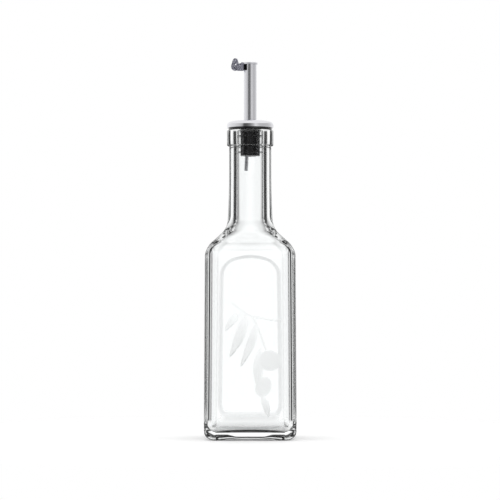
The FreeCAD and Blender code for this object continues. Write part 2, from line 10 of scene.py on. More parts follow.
import bpy
import numpy as np
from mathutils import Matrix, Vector


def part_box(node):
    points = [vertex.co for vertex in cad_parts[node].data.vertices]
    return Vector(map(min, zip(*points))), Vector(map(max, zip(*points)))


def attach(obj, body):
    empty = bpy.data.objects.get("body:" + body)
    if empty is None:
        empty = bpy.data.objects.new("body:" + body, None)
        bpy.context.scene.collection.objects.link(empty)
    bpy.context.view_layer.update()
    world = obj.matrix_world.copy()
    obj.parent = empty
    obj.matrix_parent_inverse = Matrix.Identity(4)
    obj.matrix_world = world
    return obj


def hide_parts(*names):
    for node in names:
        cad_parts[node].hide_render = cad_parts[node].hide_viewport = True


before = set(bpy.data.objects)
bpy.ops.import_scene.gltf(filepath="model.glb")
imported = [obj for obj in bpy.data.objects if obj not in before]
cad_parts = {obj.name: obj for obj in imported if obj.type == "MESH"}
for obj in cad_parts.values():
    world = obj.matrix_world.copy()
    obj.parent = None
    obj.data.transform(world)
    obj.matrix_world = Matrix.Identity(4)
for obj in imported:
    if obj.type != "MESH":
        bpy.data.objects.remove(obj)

bl_info = {
    "name": "Oil bottle with pourer",
    "version": (1, 0, 0),
    "blender": (4, 5, 0),
    "location": "View3D > Sidebar > Oil bottle",
    "description": "Builds a square glass oil bottle, its stopper, spout, hinge, flap and studio",
    "category": "Object",
}

MM = 0.001
GLASS_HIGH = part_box("bottle")[1]
CAP_LOW, CAP_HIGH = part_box("pourer_cap")
SPOUT_LOW, SPOUT_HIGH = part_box("spout_tube")
STOPPER_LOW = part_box("stopper")[0]
VENT_LOW, VENT_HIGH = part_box("vent_tube")


# ---------------------------------------------------------------- settings


def length(name, millimetres, description):
    """A size setting in metres, whose default is given in millimetres."""
    return bpy.props.FloatProperty(
        name=name, description=description, default=millimetres * MM, unit="LENGTH", precision=5
    )


def degrees(name, value, description):
    """An angle setting, whose default is given in degrees."""
    return bpy.props.FloatProperty(
        name=name, description=description, default=math.radians(value), subtype="ANGLE"
    )


def factor(name, value, description):
    """A plain share from 0 to 1."""
    return bpy.props.FloatProperty(
        name=name, description=description, default=value, min=0, max=1, subtype="FACTOR"
    )


def swatch(name, hex_code, description):
    """A colour setting, whose default is an sRGB hex value."""
    return bpy.props.FloatVectorProperty(
        name=name, description=description, default=linear(hex_code), subtype="COLOR", size=3, min=0, max=1
    )


def linear(hex_code):
    """Linear red, green and blue of an sRGB hex value such as 'd8d8dc'."""
    channels = []
    for start in (0, 2, 4):
        value = int(hex_code[start:start + 2], 16) / 255
        channels.append(value / 12.92 if value <= 0.04045 else ((value + 0.055) / 1.055) ** 2.4)
    return tuple(channels)


class GlassSizes(bpy.types.PropertyGroup):
    base_half: length("Base half width", 31.5, "Half the width of the square body at its heel")
    draft: length("Body draft", 0.7, "How far each side is drawn in at the top of the body")
    body_height: length("Body height", 125.0, "Height at which the shoulder starts")
    corner: length("Corner radius", 7.5, "Outer radius of the upright corners")
    heel: length("Heel radius", 6.4, "Outer radius between the sides and the base")
    wall: length("Body wall", 4.0, "Thickness of the glass in the body")
    inner_corner: length("Inner corner radius", 5.5, "Inner radius of the upright corners")
    inner_heel: length("Inner heel radius", 4.8, "Inner radius between the sides and the bottom")
    base_thickness: length("Base thickness", 5.6, "Thickness of the glass at the edge of the bottom")
    punt_radius: length("Punt radius", 22.0, "Radius of the hollow under the base")
    punt_rise: length("Punt rise", 2.6, "Depth of the hollow under the base")
    crown_radius: length("Inside crown radius", 19.0, "Radius of the raised middle of the bottom")
    crown_rise: length("Inside crown rise", 0.6, "Height of the raised middle of the bottom")
    convex: length("Shoulder convex radius", 14.0, "Radius of the upper bend of the shoulder")
    concave: length("Shoulder concave radius", 14.8, "Radius of the bend into the neck")
    slope: degrees("Shoulder slope", 48, "Steepest slope of the shoulder from upright")
    neck_root: length("Neck root radius", 15.4, "Outer radius at the foot of the neck")
    neck: length("Neck radius", 14.5, "Outer radius of the neck")
    flare: length("Neck flare length", 33.0, "Length over which the neck's foot widens")
    bore: length("Bore radius", 9.1, "Radius inside the neck")
    finish: length("Finish radius", 15.95, "Radius of the thick ring round the mouth")
    finish_height: length("Finish height", 10.7, "Height of the thick ring round the mouth")
    finish_fillet: length("Finish fillet radius", 0.5, "Rounding between the neck and the ring")
    finish_edge: length("Finish edge radius", 0.8, "Rounding of the ring's lower edge")
    finish_top_edge: length("Finish top edge radius", 0.4, "Rounding of the ring's upper edge")
    mouth_edge: length("Mouth edge radius", 0.7, "Fire-polished rounding of the mouth")


class PanelSizes(bpy.types.PropertyGroup):
    top_margin: length("Top margin", 9.95, "Glass left beside the panel at its top")
    foot_margin: length("Foot margin", 9.4, "Glass left beside the panel at its foot")
    foot: length("Foot height", 13.0, "Height of the panel's lower edge")
    top: length("Top height", 126.0, "Height of the panel's arch")
    rise: length("Arch rise", 14.8, "Height of the arch above its springing")
    arch_corner: length("Arch corner radius", 13.6, "Radius of the arch's corners")
    foot_corner: length("Foot corner radius", 5.5, "Radius of the panel's lower corners")
    border: length("Border width", 3.2, "Width of the soft slope round the panel")
    foot_steepness: factor("Foot steepness", 0.4, "Steepness of the lower slope as a share of the others'")
    depth: length("Depth", 0.9, "How deep the panel is sunk")
    sprig_rise: length("Sprig rise", 0.75, "How far the olive sprig stands out of the panel")


class PourerSizes(bpy.types.PropertyGroup):
    core: length("Core radius", 6.7, "Radius of the stopper's plug")
    fin_thickness: length("Fin thickness", 0.8, "Thickness of each sealing fin")
    fin_pitch: length("Fin pitch", 5.55, "Distance between fins")
    first_fin: length("First fin depth", 4.2, "Depth of the first fin below the mouth")
    fin_clearance: length("Fin clearance", 0.1, "Gap between the fins and the bore")
    fins: bpy.props.IntProperty(name="Fins", description="Number of sealing fins", default=3, min=1)
    taper: length("Taper length", 2.4, "Length of the cone under the flange")
    flange: length("Flange radius", 15.0, "Radius of the flange on the mouth")
    flange_press: length("Flange press", 0.04, "How far the soft flange is pressed down on the mouth")
    cap_height: length("Cap height", 6.0, "Height of the whole dome over the cap's lower edge")
    cap_edge: length("Cap edge radius", 3.3, "Radius of the cap's rounded edge")
    cap_skirt: length("Cap skirt height", 1.3, "Height of the cap's straight skirt")
    cap_sheet: length("Cap sheet", 0.6, "Thickness of the cap's metal")
    cap_clearance: length("Cap clearance", 0.1, "Gap between the stopper's head and the cap")
    spout_clearance: length("Spout clearance", 0.05, "Gap round the spout in the cap and the stopper")
    spout_wall: length("Spout wall", 0.7, "Wall of the spout tube")
    vent: length("Vent radius", 1.25, "Outer radius of the vent tube")
    vent_wall: length("Vent wall", 0.35, "Wall of the vent tube")
    vent_lean: degrees("Vent lean", 2.4, "Lean of the vent tube from upright")
    tube_edge: length("Tube edge radius", 0.15, "Rounding of the tubes' cut ends")
    # Where the near black painted on the bracket starts: painted shade in the gap beside the spout.
    slot_shade_edge: length("Slot edge", 0.05, "How far inside the spout's wall the bracket's dark slot starts")
    lid_edge: length("Lid edge", 0.15, "How far outside the spout's wall the bright lid starts")


class StudioSettings(bpy.types.PropertyGroup):
    distance: length("Camera distance", 1500.0, "Distance of the camera from the bottle's axis")
    height: length("Camera height", 90.0, "Height of the camera above the floor")
    side: length("Camera side", -0.14, "Place of the camera and its aim along X")
    aim: length("Aim height", 129.7, "Height on the axis at the middle of the view")
    field: length("Field width", 345.0, "Width of the view at the bottle's axis")
    floor_radius: length("Floor radius", 340.0, "Radius of the round floor")
    fade_from: length("Fade start", 60.0, "Radius at which the floor starts to fade into the room")
    fade_to: length("Fade end", 320.0, "Radius at which the floor has faded out")
    # Between these radii the floor's colour is darkened under the bottle, as a painted contact shadow.
    shade_from: length("Shade start", 26.0, "Radius of the dark floor right under the bottle")
    shade_to: length("Shade end", 33.0, "Radius at which the floor is pale again")
    floor_glow: factor("Floor glow", 0.25, "Light that the floor gives of its own to keep its shadow soft")


class Finishes(bpy.types.PropertyGroup):
    stipple: factor("Stipple", 0.62, "Roughness of the glass where the mould was stippled")
    glass: swatch("Glass", "fdfefe", "Tint of the clear glass")
    steel: swatch("Steel", "e6e6ea", "Polished and drawn stainless steel")
    pressed_dark: swatch("Pressed steel, dark", "50505f", "Hollows of the tumbled pressed steel")
    pressed_light: swatch("Pressed steel, light", "d6d6e4", "High places of the tumbled pressed steel")
    # Near black painted on the bracket beside the spout: painted shade in the gap between bracket and spout.
    slot: swatch("Bracket slot", "0c0c0e", "Dark slot of the bracket behind the spout")
    plastic: swatch("Black plastic", "0c0c10", "Moulded polyethylene of the stopper")
    floor: swatch("Floor", "f4f4f4", "Pale studio floor")
    # Painted contact shadow: the floor's colour right under the bottle.
    floor_shade: swatch("Floor shade", "191919", "Floor right under the bottle")


# ---------------------------------------------------------------- meshes

# Steps round a turned piece, and the angle past which its edges are shaded sharp.
LATHE_STEPS = 96
SHARP_EDGE = math.radians(35)


def link(obj):
    """Puts an object in the scene and returns it."""
    bpy.context.scene.collection.objects.link(obj)
    return obj


def mesh_object(name, vertices, faces, material, normals=None):
    """A smooth-shaded mesh object at the origin, with exact vertex normals where they are given."""
    mesh = bpy.data.meshes.new(name)
    mesh.from_pydata([tuple(v) for v in vertices], [], faces)
    mesh.materials.append(material)
    mesh.polygons.foreach_set("use_smooth", [True] * len(mesh.polygons))
    mesh.update()
    if normals is not None:
        mesh.normals_split_custom_set_from_vertices([tuple(n) for n in normals])
    return link(bpy.data.objects.new(name, mesh))


def ring_grid_faces(row_count, ring_count):
    """Quads between successive closed rings, facing outwards when rows rise and rings turn left."""
    faces = []
    for row in range(row_count - 1):
        low = row * ring_count
        high = low + ring_count
        for step in range(ring_count):
            after = (step + 1) % ring_count
            faces.append((low + step, low + after, high + after, high + step))
    return faces


def rounded_profile(corners, steps=8):
    """Points of a path of (radius, height, rounding) corners, each rounded by an arc."""
    points = []
    count = len(corners)
    for index, (x, z, rounding) in enumerate(corners):
        here = Vector((x, z))
        if rounding <= 0 or index in (0, count - 1):
            points.append(tuple(here))
            continue
        back = Vector(corners[index - 1][:2]) - here
        ahead = Vector(corners[index + 1][:2]) - here
        back.normalize()
        ahead.normalize()
        half = back.angle(ahead) / 2
        reach = rounding / math.tan(half)
        bisector = (back + ahead).normalized()
        centre = here + bisector * (rounding / math.sin(half))
        start = here + back * reach - centre
        end = here + ahead * reach - centre
        turn = math.atan2(start.x * end.y - start.y * end.x, start.dot(end))
        for step in range(steps + 1):
            angle = turn * step / steps
            spoke = Vector((
                start.x * math.cos(angle) - start.y * math.sin(angle),
                start.x * math.sin(angle) + start.y * math.cos(angle),
            ))
            points.append(tuple(centre + spoke))
    return points


def lathe(name, profile, material):
    """Turns a closed path of (radius, height) points, listed anticlockwise, round the Z axis."""
    vertices = []
    for x, z in profile:
        for step in range(LATHE_STEPS):
            angle = 2 * math.pi * step / LATHE_STEPS
            vertices.append((x * math.cos(angle), x * math.sin(angle), z))
    faces = []
    rows = len(profile)
    for row in range(rows):
        low = row * LATHE_STEPS
        high = (row + 1) % rows * LATHE_STEPS
        for step in range(LATHE_STEPS):
            after = (step + 1) % LATHE_STEPS
            faces.append((low + step, low + after, high + after, high + step))
    obj = mesh_object(name, vertices, faces, material)
    obj.data.set_sharp_from_angle(angle=SHARP_EDGE)
    return obj


# ---------------------------------------------------------------- glass form

# Steps along each side of a level row, with the fine one at the front for the panel, and round each corner.
SIDE_STEPS = (94, 8, 8, 8)
CORNER_STEPS = 16
# Half the angle that a side takes up where the row is a circle.
ROUND_SIDE = math.radians(22.5)
# Distance between rows up the outside of the body.
ROW_PITCH = 0.52 * MM
# Length of neck and of bore that is drawn with the ring round the mouth.
MOUTH_LEAD = 3 * MM
# Rows are pressed this far past the panel's foot and top, and slopes are taken across this step.
PANEL_LEAD = 0.5 * MM
SLOPE_STEP = 0.15 * MM


def square_ring(half, corner, side_angle):
    """Points and outward directions round a level section, from a rounded square to a circle."""
    centre = (half - corner) / (1 + math.tan(side_angle / 2))
    points = []
    outs = []
    for quarter in range(4):
        turn = math.pi / 2 * quarter - math.pi / 2
        out = np.array([math.cos(turn), math.sin(turn)])
        along = np.array([-math.sin(turn), math.cos(turn)])
        steps = SIDE_STEPS[quarter]
        share = np.linspace(-1, 1, steps + 1)
        if side_angle > 1e-5:
            swing = share * side_angle
            radius = corner + centre / math.sin(side_angle)
            middle = centre - (radius - corner) * math.cos(side_angle)
            ahead = middle + radius * np.cos(swing)
            across = radius * np.sin(swing)
        else:
            swing = share * 0
            ahead = np.full(steps + 1, half)
            across = share * centre
        points.append(np.outer(ahead, out) + np.outer(across, along))
        outs.append(np.outer(np.cos(swing), out) + np.outer(np.sin(swing), along))
        swing = np.linspace(side_angle, math.pi / 2 - side_angle, CORNER_STEPS + 1)[1:-1]
        ahead = centre + corner * np.cos(swing)
        across = centre + corner * np.sin(swing)
        points.append(np.outer(ahead, out) + np.outer(across, along))
        outs.append(np.outer(np.cos(swing), out) + np.outer(np.sin(swing), along))
    return np.concatenate(points), np.concatenate(outs)


def shoulder_path(top_half, body_top, end_radius, convex, concave, slope, flare, steps):
    """(half width, height) up a shoulder: an arc, a straight slope, and an arc into the neck.

    Angles are leans from upright: slope is the straight stretch's, and flare is the one the neck starts with.
    """
    drop = convex * (1 - math.cos(slope)) + concave * (math.cos(flare) - math.cos(slope))
    straight = (top_half - end_radius - drop) / math.sin(slope)
    path = []
    for step in range(steps + 1):
        turn = slope * step / steps
        path.append((top_half - convex * (1 - math.cos(turn)), body_top + convex * math.sin(turn)))
    width, height = path[-1]
    end_height = height + straight * math.cos(slope) + concave * (math.sin(slope) - math.sin(flare))
    foot_width = end_radius + concave * (math.cos(flare) - math.cos(slope))
    foot_height = end_height - concave * (math.sin(slope) - math.sin(flare))
    for step in range(1, 4):
        share = step / 4
        path.append((width + (foot_width - width) * share, height + (foot_height - height) * share))
    for step in range(steps + 1):
        turn = slope + (flare - slope) * step / steps
        path.append((
            end_radius + concave * (math.cos(flare) - math.cos(turn)),
            end_height - concave * (math.sin(turn) - math.sin(flare)),
        ))
    return path


def smooth(share):
    """Eases a share from 0 to 1, level at both ends."""
    share = np.clip(share, 0, 1)
    return share * share * (3 - 2 * share)


def crown(half_width, rise, corner):
    """Radius of the flat arc that meets two corner arcs smoothly."""
    return ((half_width - corner) ** 2 + rise ** 2 - corner ** 2) / (2 * (rise - corner))


class PanelForm:
    """The sunk panel and the sprig in it, at any place (x, z) on the front."""

    def __init__(self, glass, panel):
        self.panel = panel
        self.spring = panel.top - panel.rise
        self.top_half = glass.base_half - glass.draft - panel.top_margin
        self.foot_half = glass.base_half - panel.foot_margin
        self.crown = crown(self.top_half, panel.rise, panel.arch_corner)

    def inside(self, x, z):
        """Distance in from the panel's outline, negative outside it."""
        panel = self.panel
        x = np.abs(x)
        share = np.clip((z - panel.foot) / (self.spring - panel.foot), 0, 1)
        half = self.foot_half + (self.top_half - self.foot_half) * share
        side = half - x
        foot = (z - panel.foot) * panel.foot_steepness
        corner = panel.foot_corner
        in_corner = (side < corner) & (foot < corner)
        round_foot = corner - np.hypot(corner - side, corner - foot)
        low = np.where(in_corner, round_foot, np.minimum(side, foot))
        corner_x = self.top_half - panel.arch_corner
        crown_z = panel.top - self.crown
        meet = np.arctan2(self.spring - crown_z, corner_x)
        angle = np.arctan2(z - crown_z, x)
        arch = np.where(
            angle > meet,
            self.crown - np.hypot(x, z - crown_z),
            panel.arch_corner - np.hypot(x - corner_x, z - self.spring),
        )
        return np.where(z > self.spring, np.where((x < corner_x) & (angle <= meet), side, arch), low)

    def depth(self, x, z):
        """How far the front is set back at each point."""
        sunk = self.panel.depth * smooth(self.inside(x, z) / self.panel.border)
        return np.maximum(sunk - sprig_height(x / MM, z / MM) * self.panel.sprig_rise, 0)

    def stipple(self, x, z):
        """Share of the mould's stipple: strong on the sprig, most of all low down, and thin on the border."""
        # The upper leaves are fainter than the fruit and the lowest leaves.
        low_down = smooth((92 * MM - z) / (30 * MM))
        sprig = np.clip(1.6 * sprig_height(x / MM, z / MM), 0, 1) * (0.65 + 0.4 * low_down)
        # Along the middle of the border's slope, but not at the panel's foot.
        across = np.clip(self.inside(x, z) / self.panel.border, 0, 1)
        border = 4 * across * (1 - across) * smooth((z - self.panel.foot) / (9 * MM))
        return np.clip(sprig + border, 0, 1)


def leaf(x, z, base, tip, half_width, bend):
    """Height from 0 to 1 of a long pointed leaf with a midrib, in millimetres."""
    span = math.dist(base, tip)
    unit_x = (tip[0] - base[0]) / span
    unit_z = (tip[1] - base[1]) / span
    along = ((x - base[0]) * unit_x + (z - base[1]) * unit_z) / span
    across = -(x - base[0]) * unit_z + (z - base[1]) * unit_x
    inside = np.clip(along, 0, 1)
    across = across - bend * np.sin(math.pi * inside)
    # Pointed at both ends, widest a little before the middle, and flatter towards its base.
    width = half_width * np.sin(math.pi * inside ** 0.8) ** 0.9
    width = np.maximum(width, 1e-6)
    swell = np.clip(1 - (across / width) ** 2, 0, 1)
    swell = np.where((along > 0) & (along < 1), swell, 0)
    rib = 1 - 0.25 * np.exp(-(across / 0.35) ** 2) * np.sin(math.pi * inside)
    return np.sqrt(swell) * rib * np.clip(0.4 + inside, 0, 1)


def olive(x, z, centre, half_width, half_height, tilt):
    """Height from 0 to 1 of an egg-shaped fruit, in millimetres."""
    right = x - centre[0]
    up = z - centre[1]
    across = right * math.cos(tilt) + up * math.sin(tilt)
    along = -right * math.sin(tilt) + up * math.cos(tilt)
    return np.sqrt(np.clip(1 - (across / half_width) ** 2 - (along / half_height) ** 2, 0, 1))


def stalk(x, z, points, half_width):
    """Height from 0 to 1 of a thin round stalk along straight runs, in millimetres."""
    height = np.zeros_like(x)
    for (x0, z0), (x1, z1) in zip(points, points[1:]):
        run = np.array([x1 - x0, z1 - z0])
        share = ((x - x0) * run[0] + (z - z0) * run[1]) / run.dot(run)
        share = np.clip(share, 0, 1)
        off = np.hypot(x - x0 - share * run[0], z - z0 - share * run[1])
        height = np.maximum(height, np.sqrt(np.clip(1 - (off / half_width) ** 2, 0, 1)))
    return height


def sprig_height(x, z):
    """Relief of a hanging olive sprig, as a share of its full rise.

    Places are (x, height) in millimetres, and the number before each part is its share of the rise. The stem
    enters from the right, and its leaves and two olives hang down the middle.
    """
    parts = [
        0.45 * stalk(x, z, [(20.5, 81), (10, 82.5), (1.5, 84), (-6, 88.5), (-12, 93)], 0.7),
        0.45 * stalk(x, z, [(1.5, 84), (6, 75), (10.5, 62)], 0.6),
        0.9 * leaf(x, z, (-2.5, 86), (-14, 56.5), 3.6, 1.2),
        0.9 * leaf(x, z, (4.5, 80), (-6.5, 50), 3.0, 1.0),
        0.7 * leaf(x, z, (-6, 88), (-17, 74), 2.6, -0.8),
        0.8 * leaf(x, z, (7.0, 63), (6.0, 33), 3.6, -1.2),
        0.9 * leaf(x, z, (8.0, 31), (12.5, 15.8), 2.6, 0.4),
        1.2 * olive(x, z, (13.2, 54.3), 7.4, 7.2, 0.2),
        1.0 * olive(x, z, (9.0, 36.5), 5.4, 7.4, -0.35),
    ]
    height = parts[0]
    for part in parts[1:]:
        height = np.maximum(height, part)
    return height


def ring_row(half, corner, side_angle, height):
    """A level row of the glass: its points, their outward directions and its height."""
    return (*square_ring(half, corner, side_angle), height)


def circle_row(radius, height):
    """A level row that is a circle."""
    return ring_row(radius, radius, ROUND_SIDE, height)


def dome_rows(radius, rise, foot, steps):
    """Rows over a shallow dome, from near its middle out to its edge."""
    sphere = (radius ** 2 + rise ** 2) / (2 * rise)
    reach = math.asin(radius / sphere)
    rows = []
    for step in range(1, steps + 1):
        turn = reach * step / steps
        rows.append(circle_row(sphere * math.sin(turn), foot + rise - sphere * (1 - math.cos(turn))))
    return rows


def flat_rows(radius, half, corner, height, steps=6):
    """Rows on a flat, from a circle out to a rounded square."""
    round_points, outs = square_ring(radius, radius, ROUND_SIDE)
    square_points, _ = square_ring(half, corner, 0)
    rows = []
    for step in range(1, steps):
        rows.append((round_points + (square_points - round_points) * step / steps, outs, height))
    return rows


def shoulder_rows(path, corner):
    """Rows of a shoulder, whose section turns from the square body to the round neck."""
    foot = path[0][1]
    rise = path[-1][1] - foot
    rows = []
    for half, height in path:
        ease = float(smooth((height - foot) / rise))
        rows.append(ring_row(half, corner + (half - corner) * ease, ROUND_SIDE * ease, height))
    return rows


def side_half(glass, height):
    """Half the width of the body at a height."""
    return glass.base_half - glass.draft * height / glass.body_height


def base_rows(glass, heel_steps=14):
    """Rows from the middle of the punt out under the base and round the heel."""
    flat_half = glass.base_half - glass.heel
    flat_corner = glass.corner - glass.heel
    rows = dome_rows(glass.punt_radius, glass.punt_rise, 0, 14)
    rows += flat_rows(glass.punt_radius, flat_half, flat_corner, 0)
    for step in range(heel_steps + 1):
        turn = math.pi / 2 * step / heel_steps
        grow = glass.heel * math.sin(turn)
        height = glass.heel * (1 - math.cos(turn))
        drawn = glass.draft * height / glass.body_height * math.sin(turn)
        rows.append(ring_row(flat_half + grow - drawn, flat_corner + grow, 0, height))
    return rows


def outside_rows(glass, neck_steps=12):
    """Rows up the sides, the shoulder and the widened foot of the neck."""
    rows = []
    side_rows = int((glass.body_height - glass.heel) / ROW_PITCH)
    for step in range(1, side_rows):
        height = glass.heel + (glass.body_height - glass.heel) * step / side_rows
        rows.append(ring_row(side_half(glass, height), glass.corner, 0, height))
    flare = 2 * math.atan((glass.neck_root - glass.neck) / glass.flare)
    path = shoulder_path(
        glass.base_half - glass.draft, glass.body_height, glass.neck_root,
        glass.convex, glass.concave, glass.slope, flare, 16
    )
    rows += shoulder_rows(path, glass.corner)
    root_height = path[-1][1]
    flare_radius = glass.flare / math.sin(flare)
    for step in range(1, neck_steps + 1):
        turn = flare * (1 - step / neck_steps)
        radius = glass.neck + flare_radius * (1 - math.cos(turn))
        rows.append(circle_row(radius, root_height + glass.flare - flare_radius * math.sin(turn)))
    return rows


def mouth_rows(glass):
    """Rows over the thick ring, round the mouth and a little way into the bore."""
    mouth = GLASS_HIGH[2]
    ring_foot = mouth - glass.finish_height
    profile = rounded_profile([
        (glass.neck, ring_foot - MOUTH_LEAD, 0),
        (glass.neck, ring_foot, glass.finish_fillet),
        (glass.finish, ring_foot, glass.finish_edge),
        (glass.finish, mouth, glass.finish_top_edge),
        (glass.bore, mouth, glass.mouth_edge),
        (glass.bore, mouth - MOUTH_LEAD, 0),
    ], 7)
    return [circle_row(radius, height) for radius, height in profile]


def inside_rows(glass, bore_steps=8, side_steps=31, heel_steps=12):
    """Rows down the bore, the shoulder and the sides, and in to the middle of the bottom."""
    path = shoulder_path(
        glass.base_half - glass.draft - glass.wall, glass.body_height, glass.bore,
        glass.convex - glass.wall, glass.concave + glass.wall, glass.slope, 0, 12
    )
    bore_top = GLASS_HIGH[2] - MOUTH_LEAD
    bore_foot = path[-1][1]
    rows = []
    for step in range(1, bore_steps):
        rows.append(circle_row(glass.bore, bore_top + (bore_foot - bore_top) * step / bore_steps))
    rows += reversed(shoulder_rows(path, glass.inner_corner))
    heel_top = glass.base_thickness + glass.inner_heel
    for step in range(1, side_steps):
        height = glass.body_height + (heel_top - glass.body_height) * step / side_steps
        rows.append(ring_row(side_half(glass, height) - glass.wall, glass.inner_corner, 0, height))
    flat_half = side_half(glass, heel_top) - glass.wall - glass.inner_heel
    flat_corner = glass.inner_corner - glass.inner_heel
    for step in range(heel_steps + 1):
        turn = math.pi / 2 * (1 - step / heel_steps)
        grow = glass.inner_heel * math.sin(turn)
        height = heel_top - glass.inner_heel * math.cos(turn)
        rows.append(ring_row(flat_half + grow, flat_corner + grow, 0, height))
    rows += reversed(flat_rows(glass.crown_radius, flat_half, flat_corner, glass.base_thickness))
    rows += reversed(dome_rows(glass.crown_radius, glass.crown_rise, glass.base_thickness, 12))
    return rows


def row_normals(grid, outs):
    """Normals of the grid: square to each level section and to the path through the rows."""
    before = np.concatenate([grid[:1], grid[:-1]])
    after = np.concatenate([grid[1:], grid[-1:]])
    step_back = grid - before
    step_on = after - grid
    back_length = np.linalg.norm(step_back, axis=2, keepdims=True)
    on_length = np.linalg.norm(step_on, axis=2, keepdims=True)
    weight_back = on_length / np.maximum(back_length + on_length, 1e-12)
    path = step_back / np.maximum(back_length, 1e-12) * weight_back
    path += step_on / np.maximum(on_length, 1e-12) * (1 - weight_back)
    tangent = np.stack([-outs[..., 1], outs[..., 0], np.zeros(outs.shape[:2])], axis=2)
    normal = np.cross(tangent, path)
    return normal / np.maximum(np.linalg.norm(normal, axis=2, keepdims=True), 1e-12)


def press_panel(form, grid, normals, outside):
    """Sinks the panel and its sprig into the front of the outside rows, and gives each point's stipple."""
    front = slice(0, SIDE_STEPS[0] + 1)
    heights = grid[:outside, 0, 2]
    low = form.panel.foot - PANEL_LEAD
    high = form.panel.top + PANEL_LEAD
    chosen = np.where((heights > low) & (heights < high))[0]
    x = grid[chosen, front, 0]
    z = grid[chosen, front, 2]
    slope_x = (form.depth(x + SLOPE_STEP, z) - form.depth(x - SLOPE_STEP, z)) / (2 * SLOPE_STEP)
    slope_z = (form.depth(x, z + SLOPE_STEP) - form.depth(x, z - SLOPE_STEP)) / (2 * SLOPE_STEP)
    tilt = normals[chosen, front]
    tilt[..., 0] += slope_x * -tilt[..., 1]
    tilt[..., 2] += slope_z * -tilt[..., 1]
    normals[chosen, front] = tilt / np.linalg.norm(tilt, axis=2, keepdims=True)
    grid[chosen, front, 1] += form.depth(x, z)
    stipple = np.zeros(grid.shape[:2])
    stipple[chosen, front] = form.stipple(x, z)
    return stipple


def build_glass(settings):
    """The glass, one closed surface with exact normals, and the panel and sprig in its front."""
    glass = settings.glass_sizes
    form = PanelForm(glass, settings.panel_sizes)
    rows = base_rows(glass) + outside_rows(glass) + mouth_rows(glass) + inside_rows(glass)
    grid = np.array([np.column_stack([points, np.full(len(points), height)]) for points, _, height in rows])
    outs = np.array([np.column_stack([out, np.zeros(len(out))]) for _, out, _ in rows])
    normals = row_normals(grid, outs)
    outside = next(index for index, row in enumerate(rows) if row[2] > GLASS_HIGH[2] - 0.001 * MM)
    stipple = press_panel(form, grid, normals, outside)
    ring = grid.shape[1]
    faces = ring_grid_faces(len(rows), ring)
    foot_pole = len(rows) * ring
    crown_pole = foot_pole + 1
    poles = [(0, 0, glass.punt_rise), (0, 0, glass.base_thickness + glass.crown_rise)]
    vertices = np.concatenate([grid.reshape(-1, 3), poles])
    normals = np.concatenate([normals.reshape(-1, 3), [(0, 0, -1), (0, 0, 1)]])
    last = foot_pole - ring
    for index in range(ring):
        after = (index + 1) % ring
        faces.append((foot_pole, after, index))
        faces.append((crown_pole, last + index, last + after))
    bottle = mesh_object("clear_glass_bottle", vertices, faces, glass_material(settings), normals)
    bottle.data.attributes.new("stipple", "FLOAT", "POINT")
    bottle.data.attributes["stipple"].data.foreach_set("value", [*stipple.reshape(-1), 0.0, 0.0])
    return bottle


# ---------------------------------------------------------------- materials


def node(tree, kind, settings=None, links=None):
    """Adds a node, sets its attributes and sockets, and links its sockets from others."""
    new = tree.nodes.new(kind)
    for key, value in (settings or {}).items():
        if isinstance(key, str) and hasattr(new, key):
            setattr(new, key, value)
        else:
            new.inputs[key].default_value = value
    for key, source in (links or {}).items():
        tree.links.new(source, new.inputs[key])
    return new


def set_ramp(ramp, stops):
    """Gives a colour ramp its (position, colour) stops, in order."""
    elements = ramp.color_ramp.elements
    elements[0].position = stops[0][0]
    elements[1].position = stops[-1][0]
    for position, _ in stops[1:-1]:
        elements.new(position)
    for element, (_, colour) in zip(elements, stops):
        element.color = (*colour, 1)


def new_material(name):
    """A new material and its empty node tree."""
    material = bpy.data.materials.new(name)
    material.use_nodes = True
    material.node_tree.nodes.clear()
    return material, material.node_tree


def finish_material(tree, shader):
    """Ends a material with its shader."""
    node(tree, "ShaderNodeOutputMaterial", links={"Surface": shader})


def glass_material(settings):
    """Soda-lime glass, pressed in an iron mould and fire-polished.

    The eye sees through it, with black and white lines where it bends the room. Where the mould was stippled,
    on the sprig and the panel's border, the same glass is finely matt and looks grey.
    """
    material, tree = new_material("soda_lime_glass_fire_polished")
    stippled = node(tree, "ShaderNodeAttribute", {"attribute_name": "stipple"})
    matt = node(tree, "ShaderNodeMath", {"operation": "MULTIPLY", 1: settings.finishes.stipple},
                {0: stippled.outputs["Fac"]})
    shader = node(tree, "ShaderNodeBsdfPrincipled", {
        "Base Color": (*settings.finishes.glass, 1),
        "IOR": 1.52,
        "Transmission Weight": 1.0,
    }, {"Roughness": matt.outputs[0]})
    finish_material(tree, shader.outputs["BSDF"])
    return material


def steel_material(settings, name, roughness, grain_mm):
    """Stainless steel, drawn or spun, then polished: bright, with fine upright lines that soften its mirror.

    The real lines are finer than grain_mm, which is as coarse as they need to be to show.
    """
    material, tree = new_material(name)
    place = node(tree, "ShaderNodeTexCoord")
    stretch = node(tree, "ShaderNodeMapping", {"Scale": (1, 1, 0.02)}, {"Vector": place.outputs["Object"]})
    grain = node(tree, "ShaderNodeTexNoise", {"Scale": 1 / (grain_mm * MM), "Detail": 3.0, "Roughness": 0.6},
                 {"Vector": stretch.outputs["Vector"]})
    spread = node(tree, "ShaderNodeMapRange", {"To Min": roughness * 0.7, "To Max": roughness * 1.4},
                  {"Value": grain.outputs["Fac"]})
    bump = node(tree, "ShaderNodeBump", {"Strength": 0.05, "Distance": 0.02 * MM},
                {"Height": grain.outputs["Fac"]})
    shader = node(tree, "ShaderNodeBsdfPrincipled", {
        "Base Color": (*settings.finishes.steel, 1),
        "Metallic": 1.0,
    }, {"Roughness": spread.outputs["Result"], "Normal": bump.outputs["Normal"]})
    finish_material(tree, shader.outputs["BSDF"])
    return material


